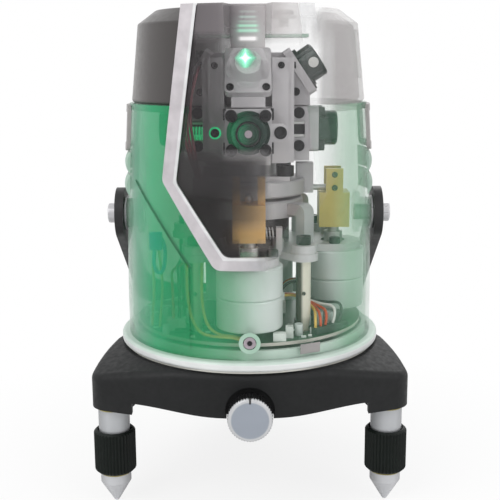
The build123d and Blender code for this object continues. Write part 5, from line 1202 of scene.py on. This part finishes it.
@dataclass
class HeadParts(Fitting):
    """Small parts of the laser head: lens cups, plate screws, slot inserts and the lit star."""

    body: str = "laser_head"
    fan_out: float = 25.2
    fan_height: float = 209.3
    fan_tilt: float = 33.6
    fan_lens: float = 9.7
    line_out: float = 34.5
    line_height: float = 181.5
    line_lens: float = 7.7
    cup_r: float = 5.8
    cup_steps: tuple[Pair, ...] = ((0.7, -0.5), (0.5, 0.25), (1.1, -0.3), (1.7, 0.45))
    cup_glass_r: float = 5.0
    cup_screw_r: float = 1.8
    screw_height: float = 0.9
    socket_share: float = 0.42
    socket_depth: float = 0.6
    plate_screw: Point = (8.4, -9.6, 2.0)
    ear_screw_x: float = 15.0
    post_screw: Point = (15.8, -22.0, 212.4)
    seat_screw: Point = (8.0, -23.4, 199.6)
    insert_size: Point = (5.6, 7.6, 3.2)
    slot_out: float = 24.8
    slot_face: float = 10.5
    slot_depth: float = 3.0
    ring_start: Pair = (-30.4, -11.1)
    ring_drop: float = 1.8
    ring_pitch: float = 1.5
    rings: int = 6
    stop: Point = (-16.0, -22.0, 180.6)
    star_shift: float = -1.2
    star_waist: float = 0.62
    star_thick: float = 0.05
    stars: tuple[tuple[str, float, float], ...] = (("star_halo", 8.5, 11.5), ("star_core", 4.4, 11.7))
    spot_seat: Point = (31.9, -8.2, 213.7)

    def fan(self, quarter: int, out: float) -> Matrix:
        """Place so far out from a sloping plate, with Z along its beam."""
        seat = turn(90 * quarter, Axis.Z) @ shift(0, -self.fan_out, self.fan_height)
        return seat @ turn(90 - self.fan_tilt, Axis.X) @ nudge(0, 0, out)

    def line(self, quarter: int, out: float) -> Matrix:
        """Place so far out from a level line's plate, with Z along its beam."""
        return turn(90 * quarter, Axis.Z) @ ahead(0, -self.line_out - out, self.line_height)

    def cups(self) -> None:
        """Fits a stepped lens cup into each barrel but the lit one."""
        cup = Bench.shaped(Bench.bar("cup_pattern", self.cup_r, 1.2, 40), 0.08, 1, *self.cup_steps)
        for finish in ("chip_resin", "green_glass", "mauve_screw"):
            cup.data.materials.append(self.finishes.materials[finish])
        for face in cup.data.polygons:
            out = math.hypot(face.center.x, face.center.y) / MM
            face.material_index = 0 if out > self.cup_glass_r else 1 if out > self.cup_screw_r else 2
        places = {f"fan_cup_{quarter}": self.fan(quarter, self.fan_lens) for quarter in (1, 2, 3)}
        places |= {f"line_cup_{quarter}": self.line(quarter, self.line_lens) for quarter in range(4)}
        self.repeat(cup, places, "", self.body, "lens")

    def screws(self, name: str, radius: float, places: list[Matrix]) -> None:
        """Fits copies of one socket screw.

        Args:
            name: Name of the screws.
            radius: Radius of the head.
            places: Where the screws sit.
        """
        screw = Bench.bar("screw_pattern", radius, self.screw_height, 28)
        Bench.shaped(screw, 0.12, 2, (radius * self.socket_share, -self.socket_depth))
        seats = {f"{name}_{index}": seat for index, seat in enumerate(places)}
        self.repeat(screw, seats, "black_screw_steel", self.body, "screw_black")

    def socket_screws(self) -> None:
        """Fits the screws of the sloping plates, the ears, the corner posts and the seats."""
        spins = [turn(90 * quarter, Axis.Z) for quarter in range(4)]
        pairs = [(quarter, side) for quarter in range(4) for side in (-1, 1)]
        x, y, out = self.plate_screw
        self.screws("plate_screw", 1.8, [self.fan(q, out) @ nudge(side * x, y, 0) for q, side in pairs])
        self.screws("ear_screw", 3.0, [self.line(q, 0.0) @ nudge(self.ear_screw_x, 0, 0) for q in range(4)])
        x, *rest = self.post_screw
        self.screws("post_screw", 1.6, [spins[q] @ ahead(side * x, *rest) for q, side in pairs])
        x, *rest = self.seat_screw
        seats = [spins[q] @ shift(side * x, *rest) @ turn(side * 90, Axis.Y) for q, side in pairs]
        self.screws("seat_screw", 2.0, seats)
        self.screws("stop_screw", 2.1, [ahead(*self.stop)])

    def inserts(self) -> None:
        """Fits a white edged black insert into each side of the mounts' slots."""
        insert = Bench.shaped(Bench.slab("insert_pattern", *self.insert_size), 0.2, 2, (0.5, -0.4))
        places = {}
        for quarter in range(4):
            for side, name in ((-1, "left"), (1, "right")):
                seat = shift(side * (self.slot_face - self.slot_depth), -self.slot_out, self.line_height)
                seat = turn(90 * quarter, Axis.Z) @ seat @ turn(side * 90, Axis.Y) @ turn(90, Axis.Z)
                places[f"slot_insert_{quarter}_{name}"] = seat
        self.repeat(insert, places, "slot_insert", self.body, "barrel_green")

    def green_rings(self) -> None:
        """Fits the thread of the left adjuster, ring by ring, and the rim of its stop, both with a painted
        green glow.
        """
        places = {}
        for index in range(self.rings):
            x, y = self.ring_start[0] + self.ring_pitch * index, self.ring_start[1]
            places[f"green_ring_{index}"] = shift(x, y, self.line_height - self.ring_drop) @ turn(90, Axis.Y)
        self.repeat(Bench.ring("ring_pattern", 3.3, 1.6, 0.9, 32), places, "green_glow", self.body, "lens")
        rim = Bench.place(Bench.ring("stop_ring", 2.9, 2.2, 0.6), ahead(*self.stop))
        self.fit(rim, "green_glow", self.body, "lens")

    def star(self) -> None:
        """Fits the four pointed star of light in the front barrel's mouth."""
        for name, radius, out in self.stars:
            Bench.clear()
            bpy.ops.mesh.primitive_circle_add(vertices=16, radius=radius * MM, fill_type="NGON")
            card = Bench.named(name)
            Bench.hold(card)
            bpy.context.tool_settings.mesh_select_mode = (True, False, False)
            for vertex in card.data.vertices:
                vertex.select = vertex.index % 4 == 2
            bpy.ops.object.mode_set(mode="EDIT")
            bpy.ops.transform.resize(value=(self.star_waist, self.star_waist, 1.0))
            bpy.ops.mesh.select_all(action="SELECT")
            bpy.ops.mesh.extrude_region_move(TRANSFORM_OT_translate={"value": (0, 0, self.star_thick * MM)})
            bpy.ops.mesh.select_all(action="SELECT")
            bpy.ops.mesh.normals_make_consistent(inside=False)
            Bench.clear()
            Bench.place(card, self.fan(0, out) @ nudge(self.star_shift, 0, 0))
            self.fit(card, name, self.body, "lens")

    def white_spot(self) -> None:
        """Fits a white spot on the right sloping barrel."""
        mark = Bench.shaped(Bench.bar("barrel_spot", 2.5, 0.6, 32), 0.06, 1, (0.4, 0.08))
        self.fit(Bench.place(mark, ahead(*self.spot_seat)), "white_insulation", self.body, "wire_white")

    def build(self) -> None:
        """Fits the head's small parts."""
        self.cups()
        self.socket_screws()
        self.inserts()
        self.green_rings()
        self.star()
        self.white_spot()


@dataclass
class ForkParts(Fitting):
    """Screws in the front prong of the right fork."""

    place_x: float = 43.0
    face_y: float = -7.6
    heights: Pair = (158.6, 152.0)

    def build(self) -> None:
        """Fits the two screws."""
        screw = Bench.shaped(Bench.bar("fork_screw_pattern", 1.5, 0.5, 24), 0.08, 1, (0.6, -0.35))
        seats = [ahead(self.place_x, self.face_y, height) for height in self.heights]
        places = {f"fork_screw_{index}": seat for index, seat in enumerate(seats)}
        self.repeat(screw, places, "olive_screw", "right_fork", "brass")


@dataclass
class TurretTrim(Fitting):
    """Trim of the turning part: boss ring, a dark disc painted as the shade in the screw's socket, grey tab,
    lit recess, and a dark drum put where there is shade round the gimbal.
    """

    boss_seat: Point = (0.0, -63.63, 88.4)
    screw_seat: Point = (0.0, -63.76, 88.4)
    tab_angle: float = 27.0
    tab_seat: Point = (0.0, -61.7, 83.4)
    recess_seat: Point = (0.0, -45.5, 229.2)
    recess_size: Point = (15.4, 18.2, 0.2)
    drum_r: float = 20.5
    drum_length: float = 14.2
    drum_height: float = 124.6

    def build(self) -> None:
        """Fits the trim."""
        ring = Bench.ring("boss_ring", 5.0, 3.1, 0.4)
        # A dark disc painted as the shade in the front screw's socket.
        socket = Bench.shaped(Bench.bar("screw_socket", 1.25, 0.12, 6), 0.02, 1, (0.2, -0.06))
        tab = Bench.shaped(Bench.slab("rim_tab", 10.4, 4.6, 0.5), 0.1, 1, (0.4, 0.08))
        face = Bench.shaped(Bench.slab("recess_face", *self.recess_size), 0.04, 1, (0.3, 0.05))
        # A dark drum put where there is only shade round the gimbal's lower edge.
        drum = Bench.bar("gimbal_drum", self.drum_r, self.drum_length, 64)
        Bench.shaped(drum, 0.6, 2, (3.0, -0.8))
        tab_seat = turn(self.tab_angle, Axis.Z) @ ahead(*self.tab_seat)
        drum_seat = shift(0, 0, self.drum_height)
        for piece, seat, finish, slot in (
            (ring, ahead(*self.boss_seat), "boss_plastic", "housing_green"),
            (socket, ahead(*self.screw_seat), "black_screw_steel", "screw_black"),
            (tab, tab_seat, "frame_grey_plastic", "housing_green"),
            (face, ahead(*self.recess_seat), "recess_light", "glass"),
            (drum, drum_seat, "drum_grey", "chassis_alloy"),
        ):
            self.fit(Bench.place(piece, seat), finish, "turret", slot)


@dataclass
class FeetTrim(Fitting):
    """Thin rings where each foot's sleeve enters the base and where its tip leaves the collar."""

    circle: float = 77.0
    angles: dict[str, float] = field(default_factory=lambda: {"left": 210.0, "right": 330.0, "rear": 90.0})
    sleeve_height: float = 48.9
    tip_height: float = 15.5

    def build(self) -> None:
        """Fits two rings to each foot."""
        upper = Bench.ring("upper_pattern", 7.9, 7.55, 0.5)
        lower = Bench.ring("lower_pattern", 7.65, 7.35, 0.5)
        for name, angle in self.angles.items():
            x = self.circle * math.cos(math.radians(angle))
            y = self.circle * math.sin(math.radians(angle))
            sleeve_ring = Bench.copy(upper, f"sleeve_ring_{name}", shift(x, y, self.sleeve_height))
            self.fit(sleeve_ring, "yellowed_ring", "base", "brass")
            tip_ring = Bench.copy(lower, f"tip_ring_{name}", shift(x, y, self.tip_height))
            self.fit(tip_ring, "yellowed_ring", f"foot_{name}", "brass")
        Bench.discard(upper)
        Bench.discard(lower)


@dataclass
class BoardParts(Fitting):
    """Parts on the main board: chips, capacitors and small flat parts.

    Chips give a place, a width and a depth, capacitors a place, a radius and a height.
    """

    top: float = 86.3
    chip_side: float = 6.0
    can_r: float = 2.2
    can_height: float = 6.0
    chips: tuple[tuple[float, float, float, float], ...] = (
        (26, -20, 7, 5), (46, -25, 5, 4), (-33, -38, 6, 5), (-22, -24, 8, 8), (-9, -18, 10, 7),
        (8, -16, 6, 6), (-44, -2, 7, 9), (0, 4, 12, 10), (36.5, -32.5, 3.5, 3.5), (-48, -14, 5, 5),
        (29, -8, 6, 6),
    )
    capacitors: tuple[tuple[float, float, float, float], ...] = (
        (23.4, -43.2, 2.0, 5.5), (34, -24.5, 2.4, 6.5), (39.5, -21.5, 2.2, 5.5), (28.5, -25.5, 2.0, 5.0),
        (-42, -18, 2.8, 8.0), (-47.5, -22, 2.2, 6.0), (-29, -20, 2.6, 7.0), (-40, -40, 1.8, 4.5),
        (-36, -12, 2.2, 6.0), (-52, -6, 2.0, 5.0),
    )
    flats: tuple[Pair, ...] = (
        (25.5, -47.5), (29.0, -45.5), (22, -36.5), (41, -26.5), (48, -19), (-20, -39),
        (-27, -46.5), (-14, -31), (-41, -31), (-24, -12), (14, -26), (20, -27),
        (32, -17), (-46, -30), (-33, -30), (-17, -46),
    )

    def build(self) -> None:
        """Fits the board's parts, one piece to each kind."""
        side, radius, tall = self.chip_side, self.can_r, self.can_height
        chip = Bench.shaped(Bench.slab("chip", side, side, 1.5), 0.15, 1, (0.5, -0.1))
        sizes = [(x, y, width / side, depth / side, 1) for x, y, width, depth in self.chips]
        self.fit(self.spread("board_chips", chip, sizes), "chip_resin", "turret", "screw_black")
        can = Bench.shaped(Bench.bar("can", radius, tall, 28), 0.15, 2, (0.35, -0.2))
        sizes = [(x, y, r / radius, r / radius, height / tall) for x, y, r, height in self.capacitors]
        self.fit(self.spread("board_capacitors", can, sizes), "drawn_can", "turret", "motor_grey")
        flat = Bench.shaped(Bench.slab("flat", 2.4, 1.4, 0.8), 0.08, 1, (0.3, 0.1))
        sizes = [(x, y, 1, 1, 1) for x, y in self.flats]
        self.fit(self.spread("board_flats", flat, sizes), "white_connector", "turret", "connector_white")

    def spread(self, name: str, pattern: Piece, sizes: list[tuple[float, ...]]) -> Piece:
        """Copies one part over the board and joins the copies.

        Args:
            name: Name of the whole.
            pattern: Part to copy, which is then deleted.
            sizes: Place on the board and growth along X, Y and Z of each copy.

        Returns:
            The whole.
        """
        copies = []
        for x, y, *growth in sizes:
            seat = shift(x, y, self.top) @ Matrix.Diagonal((*growth, 1))
            copies.append(Bench.copy(pattern, name, seat))
        Bench.discard(pattern)
        return Bench.join(name, copies)


@dataclass
class Wiring(Fitting):
    """Wires of the works, each on one smooth line through its route's points."""

    radius: float = 0.7
    pitch: float = 1.5
    terminal_height: float = 103.0
    terminal_out: float = 18.8
    reach: float = 8.4
    drive_out: float = 43.0
    front_angle: float = 40.0
    behind_near: Point = (32.0, -29.0, 95.6)
    behind_far: Point = (34.5, -23.5, 97.0)
    header_from: Pair = (31.5, -41.5)
    header_to: Pair = (43.5, -31.0)
    header_seat: float = 89.4
    header_top: float = 94.5
    header_rise: float = 1.5
    lead_x: float = -35.5
    lead_y: float = -32.0
    lead_top: float = 110.0
    loop_r: float = 0.95
    plug_seat: Point = (-45.9, -20.0, 123.5)
    connector_seat: float = 91.9

    def strand(self, points: list[Point], radius: float) -> Piece:
        """One round wire on a smooth line.

        Args:
            points: Route in millimetres, heights above the floor.
            radius: Radius of the wire in millimetres.

        Returns:
            The wire as a closed mesh.
        """
        data = bpy.data.curves.new("strand", "CURVE")
        data.dimensions = "3D"
        spline = data.splines.new("NURBS")
        spline.points.add(len(points) - 1)
        for knot, point in zip(spline.points, points):
            knot.co = (*spot(*point), 1.0)
        spline.order_u = 3
        spline.use_endpoint_u = True
        spline.resolution_u = 8
        data.bevel_depth = radius * MM
        data.bevel_resolution = 3
        data.use_fill_caps = True
        wire = bpy.data.objects.new("strand", data)
        bpy.context.scene.collection.objects.link(wire)
        Bench.hold(wire)
        bpy.ops.object.convert(target="MESH")
        return bpy.context.active_object

    def loom(self, name: str, routes: list[list[Point]], radius: float) -> Piece:
        """Wires of one colour as one piece."""
        return Bench.join(name, [self.strand(route, radius) for route in routes])

    def fan_route(self, step: int, share: float, lift: float = 0.0, out: float = 0.0) -> list[Point]:
        """Route from the front motor, behind the column and over to the header.

        Args:
            step: Place at the terminal, from -2 to 2.
            share: Place along the header, from 0 to 1.
            lift: How much higher the loop stands.
            out: How far the loop bulges to the right.

        Returns:
            Points of the route.
        """
        angle = math.radians(self.front_angle)
        forth = (math.cos(angle), math.sin(angle))
        aside = (-math.sin(angle) * step * self.pitch, math.cos(angle) * step * self.pitch)
        x = forth[0] * self.terminal_out + aside[0]
        y = forth[1] * self.terminal_out + aside[1] - self.drive_out
        z = self.terminal_height
        part = (step + 2) / 4
        behind = tuple(near + (far - near) * part for near, far in zip(self.behind_near, self.behind_far))
        end = tuple(near + (far - near) * share for near, far in zip(self.header_from, self.header_to))
        top = self.header_top + self.header_rise * part + lift
        return [
            (x, y, z),
            (x + forth[0] * self.reach, y + forth[1] * self.reach, z),
            behind,
            (end[0] + out, end[1] + out / 2, top),
            (end[0], end[1], self.header_seat),
        ]

    def right_route(self, step: int) -> list[Point]:
        """Route from the right motor down to the connector below its terminal.

        Args:
            step: Place at the terminal, from -2 to 2.

        Returns:
            Points of the route.
        """
        start = self.drive_out - self.terminal_out
        y = -step * self.pitch
        z = self.terminal_height
        return [(start, y, z), (start - self.reach, y, z), (start - self.reach, y, self.connector_seat)]

    def lead_route(self, step: int) -> list[Point]:
        """Route from the left connector up and back to the battery.

        Args:
            step: Side of the pair, -1 or 1.

        Returns:
            Points of the route.
        """
        x = self.lead_x + step * self.pitch
        high = self.lead_top + 2 * step
        rise = [(x, self.lead_y, self.connector_seat - 0.1), (x, self.lead_y, high), (x - 3, -6, high + 4)]
        return rise + [(x + 17, 19, high + 4), (x + 17, 28, high + 4)]

    def sensor_routes(self) -> list[list[Point]]:
        """Routes from under the chassis plate, round the front motor to the edge of the board.

        Returns:
            Points of each route.
        """
        outer = [(-29.6, -38, 120.7), (-30, -42, 104), (-25, -51.5, 90.6), (-17, -53.9, 88.6)]
        inner = [(-22.4, -38, 120.7), (-23, -42, 106), (-20.5, -48.5, 92.6), (-14, -51.8, 88.6)]
        outer += [(-6.5, -54.9, 88.6), (-4, -54.2, 86.9)]
        inner += [(-6.5, -52.4, 88.6), (-4, -51.4, 86.9)]
        return [outer, inner]

    def head_routes(self) -> list[list[Point]]:
        """Routes from the left sloping plate down to the head's disc.

        Returns:
            Points of each route.
        """
        starts = [(-23.5, 211.8), (-26.3, 207.6), (-29.1, 203.5)]
        bends = [(-28.6, -20.6, 193), (-30.0, -20.8, 190), (-31.4, -20.8, 187)]
        drops = [(-26.4, -19.5, 172), (-28.0, -18.6, 170), (-29.4, -17.4, 169)]
        ends = [(-23.4, -13.5, 157.3), (-24.6, -11.2, 157.3), (-25.6, -8.6, 157.3)]
        routes = zip(starts, bends, drops, ends)
        return [[(x, -11, z), (x, -20.4, z), bend, drop, end] for (x, z), bend, drop, end in routes]

    def plug(self) -> None:
        """Fits the plug inside the housing, its two leads down to the board, and its loop."""
        block = Bench.shaped(Bench.slab("cable_plug", 6.2, 4.6, 8.6), 0.4, 2, (0.8, -0.5))
        self.fit(Bench.place(block, shift(*self.plug_seat)), "blue_insulation", "turret", "connector_white")
        left = [(-47.2, -20, 124), (-47.5, -20.5, 116), (-47, -22, 104)]
        left += [(-47.6, -25, 94), (-48, -27, 86.6)]
        right = [(-44.6, -20, 124), (-43.8, -20.5, 117), (-42.8, -22, 106)]
        right += [(-43.4, -26, 95), (-44, -29, 86.6)]
        leads = self.loom("plug_leads", [left, right], self.radius)
        self.fit(leads, "yellow_insulation", "turret", "wire_yellow")
        down = [(-46.4, -21.6, 124), (-47.3, -22.2, 117), (-45.2, -22.8, 112)]
        back = [(-42.2, -22.6, 113), (-41.2, -21.6, 120), (-41.6, -20.4, 127), (-43.2, -20.2, 129)]
        loop = self.loom("plug_loop", [down + back], self.loop_r)
        self.fit(loop, "blue_insulation", "turret", "wire_white")

    def build(self) -> None:
        """Lays the wires, one piece to each colour."""
        red = [self.right_route(-2), self.right_route(-1), self.lead_route(-1)]
        red += [self.fan_route(-1, 0.22), self.fan_route(0, 0.42, 1.0, 1.5)]
        yellow = [self.right_route(0), self.fan_route(-2, 0.0), *self.sensor_routes()]
        white = [self.right_route(1), self.fan_route(1, 0.74, 2.0, 3.0)]
        black = [self.right_route(2), self.fan_route(2, 1.0, 3.0, 4.0), self.lead_route(1)]
        looms = {"red": red, "yellow": yellow, "white": white, "black": black}
        for colour, routes in looms.items():
            wires = self.loom(f"loom_{colour}", routes, self.radius)
            self.fit(wires, f"{colour}_insulation", "turret", f"wire_{colour}", f"wires_{colour}")
        wires = self.loom("loom_head", self.head_routes(), self.radius)
        self.fit(wires, "pink_insulation", "laser_head", "wire_pink", "head_wires")
        self.plug()


@dataclass
class SpringCoil(Wiring):
    """Coil spring round the chassis pin, wound on one smooth line."""

    start_x: float = -1.25
    axis_y: float = -29.0
    axis_height: float = 133.0
    coil_r: float = 2.6
    wire_r: float = 0.4
    coil_pitch: float = 1.5
    turns: int = 9
    knots: int = 12

    def build(self) -> None:
        """Winds the spring."""
        reach = self.coil_r / math.cos(math.pi / self.knots)
        points = []
        for index in range(self.turns * self.knots + 1):
            angle = math.tau * index / self.knots
            x = self.start_x + self.coil_pitch * index / self.knots
            y = self.axis_y + reach * math.cos(angle)
            points.append((x, y, self.axis_height + reach * math.sin(angle)))
        spring = self.loom("wound_spring", [points], self.wire_r)
        self.fit(spring, "machined_steel", "turret", "steel", "coil_spring")


@dataclass
class Studio:
    """Pale floor, soft light and the camera at the photograph's place."""

    floor_half: float = 6.0
    floor_gap: float = 0.0002
    floor_level: float = 0.93
    floor_rough: float = 0.9
    shadow_reach: Pair = (0.06, 0.22)
    shadow_white: float = 0.82
    sensor_mm: float = 36.0
    lens_mm: float = 66.96
    lens_shift: float = 0.0018
    near_clip: float = 0.02
    camera_back: float = 0.470
    camera_height: float = 0.213
    pitch_deg: float = 78.69
    roll_deg: float = -0.35
    world_level: float = 0.62
    aim: Point = (0.0, 0.0, 0.06)

    def floor(self) -> None:
        """Lays the white floor, which shows a soft shadow only close to the feet."""
        bpy.ops.object.select_all(action="DESELECT")
        bpy.ops.mesh.primitive_plane_add(size=2 * self.floor_half, location=(0, 0, FLOOR_Z - self.floor_gap))
        floor = bpy.context.active_object
        floor.name = "studio_floor"
        shader = Shader("floor_paper")
        shader.fixed(Roughness=self.floor_rough, Base_Color=(*(self.floor_level,) * 3, 1.0))
        length = shader.add("VectorMath", {0: shader.place}, operation="LENGTH").outputs["Value"]
        far = shader.spread(length, *self.shadow_reach, self.shadow_white, 1.0)
        seen = shader.times(shader.add("LightPath").outputs["Is Camera Ray"], far)
        white = shader.add("Emission").outputs[0]
        mix = shader.add("MixShader", {"Fac": seen, 1: shader.surface.outputs["BSDF"], 2: white})
        shader.tree.links.new(mix.outputs[0], shader.output.inputs["Surface"])
        floor.data.materials.append(shader.material)

    def world(self) -> None:
        """Sets the soft world light, seen as white."""
        world = bpy.data.worlds.new("studio_world")
        bpy.context.scene.world = world
        world.use_nodes = True
        nodes = Nodes(world.node_tree)
        light = nodes.add("Background", {"Color": WHITE, "Strength": self.world_level}).outputs[0]
        white = nodes.add("Background", {"Color": WHITE, "Strength": 1.0}).outputs[0]
        path = nodes.add("LightPath").outputs
        seen = nodes.calc("MAXIMUM", path["Is Camera Ray"], path["Is Glossy Ray"])
        seen = nodes.calc("MAXIMUM", seen, path["Is Transmission Ray"])
        mix = nodes.add("MixShader", {"Fac": seen, 1: light, 2: white})
        nodes.add("OutputWorld", {"Surface": mix.outputs[0]})

    def lamp(self, name: str, place: Point, size: float, power: float) -> None:
        """Adds a soft lamp aimed at the middle of the level.

        Args:
            name: Name of the lamp.
            place: Where it stands.
            size: Side of its square face.
            power: Power in watts.
        """
        data = bpy.data.lights.new(name, "AREA")
        data.size = size
        data.energy = power
        lamp = bpy.data.objects.new(name, data)
        lamp.location = place
        lamp.rotation_mode = "QUATERNION"
        lamp.rotation_quaternion = (Vector(self.aim) - Vector(place)).to_track_quat("-Z", "Y")
        bpy.context.scene.collection.objects.link(lamp)

    def camera(self) -> None:
        """Sets the camera where the photograph was taken."""
        data = bpy.data.cameras.new("photo_camera")
        data.sensor_width = self.sensor_mm
        data.lens = self.lens_mm
        data.shift_x = self.lens_shift
        data.clip_start = self.near_clip
        camera = bpy.data.objects.new("photo_camera", data)
        place = Matrix.Translation((0, -self.camera_back, FLOOR_Z + self.camera_height))
        camera.matrix_world = place @ turn(self.pitch_deg, Axis.X) @ turn(self.roll_deg, Axis.Z)
        bpy.context.scene.collection.objects.link(camera)
        bpy.context.scene.camera = camera

    def build(self) -> None:
        """Sets up floor, light and camera."""
        bpy.context.scene.view_settings.view_transform = "Standard"
        self.floor()
        self.world()
        self.lamp("key_lamp", (-0.8, -0.9, 1.0), 0.9, 7.0)
        self.lamp("fill_lamp", (1.0, -0.8, 0.7), 0.9, 3.5)
        self.lamp("back_lamp", (0.3, 1.1, 0.9), 0.8, 4.0)
        self.camera()


def main() -> None:
    """Builds the level's looks in order and reports each step."""
    logging.basicConfig(level=logging.INFO, format="%(message)s")
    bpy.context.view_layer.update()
    finishes = Finishes()
    CadDressing(finishes).build()
    for group in (Wiring, SpringCoil, HeadParts, ForkParts, TurretTrim, FeetTrim, BoardParts):
        group(finishes).build()
    Studio().build()


if __name__ == "__main__":
    main()
